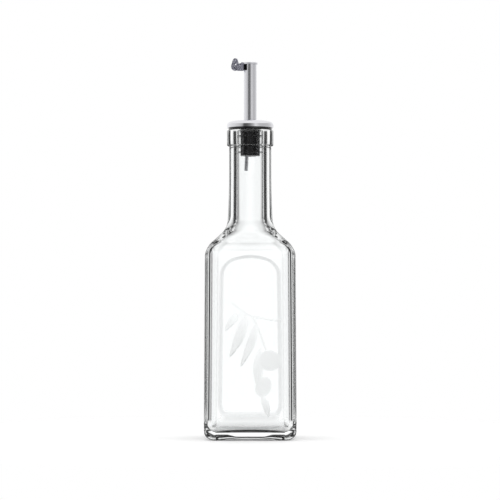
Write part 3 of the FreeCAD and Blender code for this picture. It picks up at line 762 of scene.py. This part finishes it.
def pressed_steel_material(settings, name, beyond_from, beyond):
    """Pressed steel, tumbled: dull, with dark and light patches under a millimetre across.

    Past beyond_from along X it has the colour beyond: on the bracket, near black as painted shade in the gap
    beside the spout; on the flap, the colour of its bright lid.
    """
    material, tree = new_material(name)
    place = node(tree, "ShaderNodeTexCoord")
    mottle = node(tree, "ShaderNodeTexNoise", {"Scale": 1 / (0.8 * MM), "Detail": 3.0, "Roughness": 0.7},
                  {"Vector": place.outputs["Object"]})
    shade = node(tree, "ShaderNodeValToRGB", links={"Fac": mottle.outputs["Fac"]})
    set_ramp(shade, [(0.38, settings.finishes.pressed_dark), (0.62, settings.finishes.pressed_light)])
    # Past beyond_from the colour is swapped: painted shade on the bracket, the bright lid's colour on the
    # flap.
    spot = node(tree, "ShaderNodeSeparateXYZ", links={"Vector": place.outputs["Object"]})
    past = node(tree, "ShaderNodeMath", {"operation": "GREATER_THAN", 1: beyond_from}, {0: spot.outputs["X"]})
    colour = node(tree, "ShaderNodeMix", {"data_type": "RGBA", 7: (*beyond, 1)}, {
        "Factor": past.outputs[0], 6: shade.outputs["Color"],
    })
    bump = node(tree, "ShaderNodeBump", {"Strength": 0.4, "Distance": 0.12 * MM},
                {"Height": mottle.outputs["Fac"]})
    shader = node(tree, "ShaderNodeBsdfPrincipled", {
        "Metallic": 1.0,
        "Roughness": 0.42,
    }, {"Base Color": colour.outputs[2], "Normal": bump.outputs["Normal"]})
    finish_material(tree, shader.outputs["BSDF"])
    return material


def plastic_material(settings):
    """Black polyethylene, injection moulded: deep black with a soft gloss, faintly uneven where it shrank."""
    material, tree = new_material("moulded_black_polyethylene")
    place = node(tree, "ShaderNodeTexCoord")
    grain = node(tree, "ShaderNodeTexNoise", {"Scale": 1 / (1.2 * MM), "Detail": 2.0},
                 {"Vector": place.outputs["Object"]})
    bump = node(tree, "ShaderNodeBump", {"Strength": 0.15, "Distance": 0.05 * MM},
                {"Height": grain.outputs["Fac"]})
    shader = node(tree, "ShaderNodeBsdfPrincipled", {
        "Base Color": (*settings.finishes.plastic, 1),
        "Roughness": 0.12,
        "IOR": 1.51,
    }, {"Normal": bump.outputs["Normal"]})
    finish_material(tree, shader.outputs["BSDF"])
    return material


# ---------------------------------------------------------------- pourer pieces


def head_profile(pourer, inset, foot, steps=12):
    """(radius, height) points of the domed head from its foot to the axis, set in from the cap's outside."""
    radius = CAP_HIGH[0]
    skirt_top = CAP_LOW[2] + pourer.cap_skirt
    top = CAP_LOW[2] + pourer.cap_height
    big = crown(radius, pourer.cap_height - pourer.cap_skirt, pourer.cap_edge)
    centre_z = top - big
    edge_x = radius - pourer.cap_edge
    meet = math.atan2(skirt_top - centre_z, edge_x)
    points = [(radius - inset, foot)]
    for step in range(steps + 1):
        turn = meet * step / steps
        reach = pourer.cap_edge - inset
        points.append((edge_x + reach * math.cos(turn), skirt_top + reach * math.sin(turn)))
    for step in range(1, steps + 1):
        turn = meet + (math.pi / 2 - meet) * step / steps
        reach = big - inset
        points.append((reach * math.cos(turn), centre_z + reach * math.sin(turn)))
    return points


def build_cap(settings):
    """The cap: a dome of spun sheet with a short straight skirt, and a hole for the spout."""
    pourer = settings.pourer_sizes
    foot = CAP_LOW[2]
    hole_top = CAP_HIGH[2]
    hole = SPOUT_HIGH[0] + pourer.spout_clearance
    sheet = pourer.cap_sheet
    outside = [point for point in head_profile(pourer, 0, foot) if point[0] > hole]
    inside = [point for point in head_profile(pourer, sheet, foot) if point[0] > hole]
    outside.append((hole, hole_top))
    inside.append((hole, hole_top - sheet))
    profile = outside + inside[::-1]
    return lathe("cap_dome", profile, steel_material(settings, "polished_stainless_steel", 0.12, 0.3))


def build_stopper(settings):
    """The stopper: domed head, flange, tapered plug and a bore for the spout.

    Its soft flange is pressed tight on the mouth, with no air between, so black shows through the glass.
    """
    pourer = settings.pourer_sizes
    mouth = GLASS_HIGH[2]
    flange_top = CAP_LOW[2]
    seat = mouth - pourer.flange_press
    plug = settings.glass_sizes.bore - pourer.fin_clearance
    lip = settings.glass_sizes.mouth_edge
    low = STOPPER_LOW[2]
    socket = SPOUT_HIGH[0] + pourer.spout_clearance
    bore = SPOUT_HIGH[0] - pourer.spout_wall
    ledge = SPOUT_LOW[2]
    inset = pourer.cap_sheet + pourer.cap_clearance
    head = [point for point in head_profile(pourer, inset, flange_top) if point[0] > socket]
    corners = rounded_profile([
        (bore, low, 0),
        (pourer.core, low, 0.5 * MM),
        (pourer.core, mouth - pourer.taper, 0.6 * MM),
        (plug - lip, seat, 0.2 * MM),
        (pourer.flange, seat, 0.35 * MM),
        (pourer.flange, flange_top, 0.2 * MM),
        (head[0][0], flange_top, 0),
    ], 5)
    profile = corners + head[1:] + [(socket, head[-1][1]), (socket, ledge), (bore, ledge)]
    return lathe("stopper_core", profile, plastic_material(settings))


def build_fins(settings, material):
    """Three thin sealing fins in a row, made by one Geometry Nodes tree."""
    pourer = settings.pourer_sizes
    tree = bpy.data.node_groups.new("stopper_fins", "GeometryNodeTree")
    sockets = {}
    for name, kind, value in (
        ("Outer Radius", "NodeSocketFloat", settings.glass_sizes.bore - pourer.fin_clearance),
        ("Inner Radius", "NodeSocketFloat", pourer.core - 0.3 * MM),
        ("Thickness", "NodeSocketFloat", pourer.fin_thickness),
        ("Pitch", "NodeSocketFloat", pourer.fin_pitch),
        ("First Height", "NodeSocketFloat", GLASS_HIGH[2] - pourer.first_fin),
        ("Count", "NodeSocketInt", pourer.fins),
    ):
        socket = tree.interface.new_socket(name, in_out="INPUT", socket_type=kind)
        sockets[name] = (socket.identifier, value)
    tree.interface.new_socket("Geometry", in_out="OUTPUT", socket_type="NodeSocketGeometry")
    given = node(tree, "NodeGroupInput").outputs
    both = node(tree, "ShaderNodeMath", {"operation": "ADD"},
                {0: given["Outer Radius"], 1: given["Inner Radius"]})
    middle = node(tree, "ShaderNodeMath", {"operation": "MULTIPLY", 1: 0.5}, {0: both.outputs[0]})
    reach = node(tree, "ShaderNodeMath", {"operation": "SUBTRACT"},
                 {0: given["Outer Radius"], 1: given["Inner Radius"]})
    path = node(tree, "GeometryNodeCurvePrimitiveCircle", {"Resolution": 128}, {"Radius": middle.outputs[0]})
    section = node(tree, "GeometryNodeCurvePrimitiveQuadrilateral", {"mode": "RECTANGLE"},
                   {"Width": reach.outputs[0], "Height": given["Thickness"]})
    fillet = node(tree, "ShaderNodeMath", {"operation": "MULTIPLY", 1: 0.45}, {0: given["Thickness"]})
    rounded = node(tree, "GeometryNodeFilletCurve", {"mode": "POLY", "Count": 6},
                   {"Curve": section.outputs[0], "Radius": fillet.outputs[0]})
    fin = node(tree, "GeometryNodeCurveToMesh", links={
        "Curve": path.outputs[0], "Profile Curve": rounded.outputs[0],
    })
    down = node(tree, "ShaderNodeMath", {"operation": "MULTIPLY", 1: -1.0}, {0: given["Pitch"]})
    spacing = node(tree, "ShaderNodeCombineXYZ", links={"Z": down.outputs[0]})
    start = node(tree, "ShaderNodeCombineXYZ", links={"Z": given["First Height"]})
    line = node(tree, "GeometryNodeMeshLine", {"mode": "OFFSET"}, {
        "Count": given["Count"], "Start Location": start.outputs[0], "Offset": spacing.outputs[0],
    })
    copies = node(tree, "GeometryNodeInstanceOnPoints", links={
        "Points": line.outputs[0], "Instance": fin.outputs[0],
    })
    real = node(tree, "GeometryNodeRealizeInstances", links={"Geometry": copies.outputs[0]})
    shade = node(tree, "GeometryNodeSetShadeSmooth", links={"Geometry": real.outputs[0]})
    coated = node(tree, "GeometryNodeSetMaterial", {"Material": material}, {"Geometry": shade.outputs[0]})
    node(tree, "NodeGroupOutput", links={"Geometry": coated.outputs[0]})
    return grown_object("stopper_fins", tree, sockets)


def grown_object(name, tree, sockets):
    """A plain mesh object holding what a Geometry Nodes tree makes from its named inputs."""
    host = link(bpy.data.objects.new(name, bpy.data.meshes.new(name)))
    modifier = host.modifiers.new(name, "NODES")
    modifier.node_group = tree
    for identifier, value in sockets.values():
        modifier[identifier] = value
    depsgraph = bpy.context.evaluated_depsgraph_get()
    mesh = bpy.data.meshes.new_from_object(host.evaluated_get(depsgraph))
    host.modifiers.remove(modifier)
    host.data = mesh
    mesh.name = name
    return host


def build_tube(name, foot, top, radius, wall, tube_edge, material):
    """A straight drawn tube with softly broken edges, between two points."""
    foot = Vector(foot)
    top = Vector(top)
    run = top - foot
    edge = min(tube_edge, wall * 0.4)
    # The closed path starts and ends halfway up the bore.
    profile = rounded_profile([
        (radius - wall, 0.5 * run.length, 0),
        (radius - wall, 0, edge),
        (radius, 0, edge),
        (radius, run.length, edge),
        (radius - wall, run.length, edge),
        (radius - wall, 0.5 * run.length + 0.01 * MM, 0),
    ], 4)
    tube = lathe(name, profile, material)
    turn = Vector((0, 0, 1)).rotation_difference(run)
    for vertex in tube.data.vertices:
        vertex.co = foot + turn @ vertex.co
    return tube


# ---------------------------------------------------------------- operators


def shared(context):
    """The bottle's settings in the scene."""
    return context.scene.oil_bottle


class OILBOTTLE_OT_glass(bpy.types.Operator):
    """Build the glass body with its panel and sprig"""

    bl_idname = "oil_bottle.glass"
    bl_label = "Build glass"

    def execute(self, context):
        bottle = build_glass(shared(context))
        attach(bottle, "body")
        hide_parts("bottle")
        return {"FINISHED"}


class OILBOTTLE_OT_stopper(bpy.types.Operator):
    """Build the black stopper and its fins"""

    bl_idname = "oil_bottle.stopper"
    bl_label = "Build stopper"

    def execute(self, context):
        core = build_stopper(shared(context))
        fins = build_fins(shared(context), core.data.materials[0])
        for piece in (core, fins):
            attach(piece, "body")
        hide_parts("stopper")
        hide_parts("stopper")
        return {"FINISHED"}


class OILBOTTLE_OT_cap(bpy.types.Operator):
    """Build the polished cap over the stopper"""

    bl_idname = "oil_bottle.cap"
    bl_label = "Build cap"

    def execute(self, context):
        cap = build_cap(shared(context))
        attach(cap, "body")
        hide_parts("pourer_cap")
        return {"FINISHED"}


class OILBOTTLE_OT_tubes(bpy.types.Operator):
    """Build the spout tube and the vent tube"""

    bl_idname = "oil_bottle.tubes"
    bl_label = "Build tubes"

    def execute(self, context):
        pourer = shared(context).pourer_sizes
        drawn = steel_material(shared(context), "drawn_stainless_steel", 0.2, 0.25)
        spout = build_tube(
            "spout", (0, 0, SPOUT_LOW[2]), (0, 0, SPOUT_HIGH[2]),
            SPOUT_HIGH[0], pourer.spout_wall, pourer.tube_edge, drawn,
        )
        low_x = VENT_LOW[0] + pourer.vent * math.cos(pourer.vent_lean)
        high_x = VENT_HIGH[0] - pourer.vent * math.cos(pourer.vent_lean)
        rise = pourer.vent * math.sin(pourer.vent_lean)
        vent = build_tube(
            "vent", (low_x, 0, VENT_LOW[2] + rise), (high_x, 0, VENT_HIGH[2] - rise),
            pourer.vent, pourer.vent_wall, pourer.tube_edge, drawn,
        )
        for piece, replaced in ((spout, "spout_tube"), (vent, "vent_tube")):
            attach(piece, "body")
            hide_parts(replaced)
        return {"FINISHED"}


class OILBOTTLE_OT_hinge(bpy.types.Operator):
    """Finish the bracket, the pin and the flap"""

    bl_idname = "oil_bottle.hinge"
    bl_label = "Build hinge"

    def execute(self, context):
        settings = shared(context)
        # Past this edge the bracket is painted near black, as painted shade in the gap beside the spout.
        slot_shade_from = SPOUT_LOW[0] + settings.pourer_sizes.slot_shade_edge
        lid_from = SPOUT_LOW[0] - settings.pourer_sizes.lid_edge
        slot = settings.finishes.slot
        bright = settings.finishes.steel
        bracket = pressed_steel_material(settings, "tumbled_pressed_bracket_painted_shade", slot_shade_from, slot)
        flap = pressed_steel_material(settings, "tumbled_pressed_flap", lid_from, bright)
        for name, pressed in (("hinge_bracket", bracket), ("hinge_pin", bracket), ("flap", flap)):
            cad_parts[name].data.materials.clear()
            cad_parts[name].data.materials.append(pressed)
        return {"FINISHED"}


class OILBOTTLE_OT_studio(bpy.types.Operator):
    """Build the floor, the light and the camera"""

    bl_idname = "oil_bottle.studio"
    bl_label = "Build studio"

    def execute(self, context):
        settings = shared(context)
        studio = settings.studio
        scene = context.scene
        scene.view_settings.view_transform = "Standard"
        scene.cycles.max_bounces = 32
        scene.cycles.transmission_bounces = 32
        scene.cycles.glossy_bounces = 16
        scene.cycles.caustics_refractive = True
        scene.cycles.caustics_reflective = True
        build_world(scene)
        build_floor(settings)
        camera_data = bpy.data.cameras.new("camera")
        camera = link(bpy.data.objects.new("camera", camera_data))
        camera_data.lens = camera_data.sensor_width * studio.distance / studio.field
        camera_data.clip_end = 20
        place = Vector((studio.side, -studio.distance, studio.height))
        aim = Vector((studio.side, 0, studio.aim))
        camera.location = place
        camera.rotation_euler = (aim - place).to_track_quat("-Z", "Y").to_euler()
        scene.camera = camera
        return {"FINISHED"}


# ---------------------------------------------------------------- studio

# Each table is (degrees, brightness). Round the room, degrees count from straight behind the bottle to either
# side, and 180 is the camera. Up the room, they count from the bottle's height. Where the rooms below give a
# height as a plain Z, it is the sine of that angle.
# What shines through glass: a white backdrop, black flags beside it and soft strips beyond them.
THROUGH_GLASS = (
    (0, 1.2), (8, 1.12), (15, 1.06), (21, 0.98), (26, 0.7), (31, 0.3), (36, 0.0), (56, 0.0),
    (64, 0.1), (68, 0.85), (74, 0.85), (78, 0.35), (83, 0.4), (87, 0.9), (104, 0.85), (110, 0.2), (116, 0.0),
    (150, 0.0), (158, 0.15), (180, 0.1),
)
# How the backdrop fades above the bottle's height.
FADE_UP = ((0, 1.0), (6, 1.0), (12, 0.86), (23, 0.6), (32, 0.3), (40, 0.0))
# Two soft lights that shine through glass: a long strip on each side and a box overhead.
STRIP_UP = ((0, 0.0), (21, 0.0), (28, 0.85), (37, 0.85), (41, 0.0), (90, 0.0))
OVERHEAD_UP = ((0, 0.0), (36, 0.0), (42, 0.9), (62, 0.9), (72, 0.2), (90, 0.2))
# What metal mirrors on its -X side: a black flag beside the camera, and white beyond it.
MIRRORED_LEFT = (
    (0, 1.1), (60, 0.95), (100, 0.8), (130, 0.62), (142, 0.45), (148, 0.1), (162, 0.1), (168, 0.15),
    (180, 0.25),
)
# What metal mirrors on its +X side: a bright strip beside the camera, and grey beyond it.
MIRRORED_RIGHT = (
    (0, 1.1), (50, 0.85), (80, 0.62), (110, 0.56), (135, 0.6), (147, 0.8), (155, 0.85), (163, 0.55),
    (180, 0.25),
)
WHITE = (1, 1, 1, 1)
# What smooth glass mirrors is dimmer than what metal does, so its lines stay dark.
GLASS_SHEEN = (0.2, 0.2, 0.2, 1)


def greys(table):
    """Ramp stops of a (degrees, brightness) table, placed by their share of 180 degrees."""
    return [(turn / 180, (brightness,) * 3) for turn, brightness in table]


def room_through_glass(tree, path, parts, share, height):
    """What shines through glass: the backdrop, the lights over and beside it, and the pale table below.

    Rays that weren't mirrored yet see the half behind the bottle on the camera's side too, so the glass is as
    clear from every side. Rays that were mirrored inside the glass see the room as it is.
    """
    folded = node(tree, "ShaderNodeMath", {"operation": "PINGPONG", 1: 0.5}, {0: share})
    thrown = node(tree, "ShaderNodeMath", {"operation": "GREATER_THAN", 1: 0.5}, {0: path["Glossy Depth"]})
    turn = node(tree, "ShaderNodeMix", {"data_type": "FLOAT"}, {
        "Factor": thrown.outputs[0], 2: folded.outputs[0], 3: share,
    })
    belt = node(tree, "ShaderNodeValToRGB", links={"Fac": turn.outputs[0]})
    set_ramp(belt, greys(THROUGH_GLASS))
    fade = node(tree, "ShaderNodeValToRGB", links={"Fac": height})
    set_ramp(fade, greys(FADE_UP))
    backdrop = node(tree, "ShaderNodeMix", {"data_type": "RGBA", "blend_type": "MULTIPLY", "Factor": 1.0}, {
        6: belt.outputs["Color"], 7: fade.outputs["Color"],
    })
    strip = node(tree, "ShaderNodeValToRGB", links={"Fac": height})
    set_ramp(strip, greys(STRIP_UP))
    overhead = node(tree, "ShaderNodeValToRGB", links={"Fac": height})
    set_ramp(overhead, greys(OVERHEAD_UP))
    beside = node(tree, "ShaderNodeMapRange", {
        "interpolation_type": "SMOOTHSTEP", "From Min": 0.25, "From Max": 0.36,
    }, {"Value": share})
    lights = node(tree, "ShaderNodeMix", {"data_type": "RGBA"}, {
        "Factor": beside.outputs[0], 6: overhead.outputs["Color"], 7: strip.outputs["Color"],
    })
    behind = node(tree, "ShaderNodeMix", {"data_type": "RGBA", "blend_type": "ADD", "Factor": 1.0}, {
        6: backdrop.outputs[2], 7: lights.outputs[2],
    })
    table = node(tree, "ShaderNodeMapRange", {
        "interpolation_type": "SMOOTHSTEP", "From Min": -0.14, "From Max": -0.26, "To Max": 0.92,
    }, {"Value": parts["Z"]})
    room = node(tree, "ShaderNodeMix", {"data_type": "RGBA", 7: WHITE}, {
        "Factor": table.outputs[0], 6: behind.outputs[2],
    })
    return room.outputs[2]


def room_in_metal(tree, parts, share, right):
    """What metal mirrors: a belt of grey at the bottle's height, and white above and below it."""
    left_side = node(tree, "ShaderNodeValToRGB", links={"Fac": share})
    set_ramp(left_side, greys(MIRRORED_LEFT))
    right_side = node(tree, "ShaderNodeValToRGB", links={"Fac": share})
    set_ramp(right_side, greys(MIRRORED_RIGHT))
    belt = node(tree, "ShaderNodeMix", {"data_type": "RGBA"}, {
        "Factor": right, 6: left_side.outputs["Color"], 7: right_side.outputs["Color"],
    })
    above = node(tree, "ShaderNodeMapRange", {
        "interpolation_type": "SMOOTHSTEP", "From Min": 0.52, "From Max": 0.62,
    }, {"Value": parts["Z"]})
    below = node(tree, "ShaderNodeMapRange", {
        "interpolation_type": "SMOOTHSTEP", "From Min": -0.12, "From Max": -0.16,
    }, {"Value": parts["Z"]})
    outside = node(tree, "ShaderNodeMath", {"operation": "MAXIMUM"}, {
        0: above.outputs[0], 1: below.outputs[0],
    })
    room = node(tree, "ShaderNodeMix", {"data_type": "RGBA", 7: WHITE}, {
        "Factor": outside.outputs[0], 6: belt.outputs[2],
    })
    return room.outputs[2]


def build_world(scene):
    """The studio room, seen by direction only: plain white for the camera and for matt surfaces.

    Glass and metal each see their own flags and soft panels in it.
    """
    world = bpy.data.worlds.new("studio_room")
    scene.world = world
    world.use_nodes = True
    tree = world.node_tree
    tree.nodes.clear()
    path = node(tree, "ShaderNodeLightPath").outputs
    place = node(tree, "ShaderNodeTexCoord")
    parts = node(tree, "ShaderNodeSeparateXYZ", links={"Vector": place.outputs["Generated"]}).outputs
    angle = node(tree, "ShaderNodeMath", {"operation": "ARCTAN2"}, {0: parts["X"], 1: parts["Y"]})
    right = node(tree, "ShaderNodeMath", {"operation": "GREATER_THAN", 1: 0.0}, {0: angle.outputs[0]})
    turned = node(tree, "ShaderNodeMath", {"operation": "ABSOLUTE"}, {0: angle.outputs[0]})
    share = node(tree, "ShaderNodeMath", {"operation": "DIVIDE", 1: math.pi}, {0: turned.outputs[0]})
    raised = node(tree, "ShaderNodeMath", {"operation": "ARCSINE"}, {0: parts["Z"]})
    height = node(tree, "ShaderNodeMath", {"operation": "DIVIDE", 1: math.pi}, {0: raised.outputs[0]})
    through = room_through_glass(tree, path, parts, share.outputs[0], height.outputs[0])
    mirrored = room_in_metal(tree, parts, share.outputs[0], right.outputs[0])
    sheen = node(tree, "ShaderNodeMix", {"data_type": "RGBA", 7: GLASS_SHEEN}, {
        "Factor": path["Is Singular Ray"], 6: mirrored,
    })
    room = node(tree, "ShaderNodeMix", {"data_type": "RGBA"}, {
        "Factor": path["Is Transmission Ray"], 6: sheen.outputs[2], 7: through,
    })
    plain = node(tree, "ShaderNodeMath", {"operation": "MAXIMUM"}, {
        0: path["Is Camera Ray"], 1: path["Is Diffuse Ray"],
    })
    seen = node(tree, "ShaderNodeMix", {"data_type": "RGBA", 7: WHITE}, {
        "Factor": plain.outputs[0], 6: room.outputs[2],
    })
    around = node(tree, "ShaderNodeBackground", {"Strength": 1.0}, {"Color": seen.outputs[2]})
    node(tree, "ShaderNodeOutputWorld", links={"Surface": around.outputs[0]})


def floor_material(settings):
    """Matt white paint on a studio floor: pale, with a soft shadow, and faded out into the white room.

    Rays that were mirrored inside the glass see it dark right under the bottle, as a painted contact shadow:
    this is the black band in the base.
    """
    studio = settings.studio
    material, tree = new_material("matt_white_studio_floor")
    path = node(tree, "ShaderNodeLightPath").outputs
    place = node(tree, "ShaderNodeTexCoord")
    reach = node(tree, "ShaderNodeVectorMath", {"operation": "LENGTH"}, {0: place.outputs["Object"]})
    # The floor's colour is darkened under the bottle as a painted contact shadow, seen only by rays mirrored
    # in the glass.
    lit_part = node(tree, "ShaderNodeMapRange", {
        "interpolation_type": "SMOOTHSTEP", "From Min": studio.shade_from, "From Max": studio.shade_to,
    }, {"Value": reach.outputs["Value"]})
    straight = node(tree, "ShaderNodeMath", {"operation": "LESS_THAN", 1: 0.5}, {0: path["Glossy Depth"]})
    pale = node(tree, "ShaderNodeMath", {"operation": "MAXIMUM"}, {
        0: lit_part.outputs[0], 1: straight.outputs[0],
    })
    shade = node(tree, "ShaderNodeMix", {
        "data_type": "RGBA", 6: (*settings.finishes.floor_shade, 1), 7: (*settings.finishes.floor, 1),
    }, {"Factor": pale.outputs[0]})
    matt = node(tree, "ShaderNodeBsdfDiffuse", links={"Color": shade.outputs[2]})
    glow = node(tree, "ShaderNodeEmission", {"Color": WHITE, "Strength": studio.floor_glow})
    both = node(tree, "ShaderNodeAddShader", links={0: matt.outputs[0], 1: glow.outputs[0]})
    seen = node(tree, "ShaderNodeMath", {"operation": "MAXIMUM"}, {
        0: path["Is Camera Ray"], 1: path["Is Transmission Ray"],
    })
    glowing = node(tree, "ShaderNodeMath", {"operation": "MULTIPLY"}, {
        0: seen.outputs[0], 1: pale.outputs[0],
    })
    lit = node(tree, "ShaderNodeMixShader", links={
        0: glowing.outputs[0], 1: matt.outputs[0], 2: both.outputs[0],
    })
    fade = node(tree, "ShaderNodeMapRange", {
        "interpolation_type": "SMOOTHSTEP", "From Min": studio.fade_from, "From Max": studio.fade_to,
    }, {"Value": reach.outputs["Value"]})
    clear = node(tree, "ShaderNodeBsdfTransparent")
    mix = node(tree, "ShaderNodeMixShader", links={
        0: fade.outputs["Result"], 1: lit.outputs[0], 2: clear.outputs[0],
    })
    finish_material(tree, mix.outputs[0])
    return material


def build_floor(settings, steps=64):
    """A round floor under the bottle."""
    rim = []
    for step in range(steps):
        angle = 2 * math.pi * step / steps
        radius = settings.studio.floor_radius
        rim.append((radius * math.cos(angle), radius * math.sin(angle), 0))
    floor = mesh_object("studio_floor", rim, [tuple(range(steps))], floor_material(settings))


# ---------------------------------------------------------------- add-on


class BottleSettings(bpy.types.PropertyGroup):
    glass_sizes: bpy.props.PointerProperty(type=GlassSizes)
    panel_sizes: bpy.props.PointerProperty(type=PanelSizes)
    pourer_sizes: bpy.props.PointerProperty(type=PourerSizes)
    studio: bpy.props.PointerProperty(type=StudioSettings)
    finishes: bpy.props.PointerProperty(type=Finishes)


class OILBOTTLE_PT_panel(bpy.types.Panel):
    """Sidebar panel with a button for each group of pieces"""

    bl_idname = "OILBOTTLE_PT_panel"
    bl_label = "Oil bottle"
    bl_space_type = "VIEW_3D"
    bl_region_type = "UI"
    bl_category = "Oil bottle"

    def draw(self, context):
        for step in STEPS:
            self.layout.operator(step.bl_idname)


STEPS = (
    OILBOTTLE_OT_glass,
    OILBOTTLE_OT_stopper,
    OILBOTTLE_OT_cap,
    OILBOTTLE_OT_tubes,
    OILBOTTLE_OT_hinge,
    OILBOTTLE_OT_studio,
)
CLASSES = (
    GlassSizes, PanelSizes, PourerSizes, StudioSettings, Finishes, BottleSettings, *STEPS, OILBOTTLE_PT_panel,
)


def register():
    for cls in CLASSES:
        bpy.utils.register_class(cls)
    bpy.types.Scene.oil_bottle = bpy.props.PointerProperty(type=BottleSettings)


def unregister():
    del bpy.types.Scene.oil_bottle
    for cls in reversed(CLASSES):
        bpy.utils.unregister_class(cls)


def main():
    """Builds every piece in order."""
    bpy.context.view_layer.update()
    register()
    for step in STEPS:
        group, name = step.bl_idname.split(".")
        getattr(getattr(bpy.ops, group), name)()


if __name__ == "__main__":
    main()
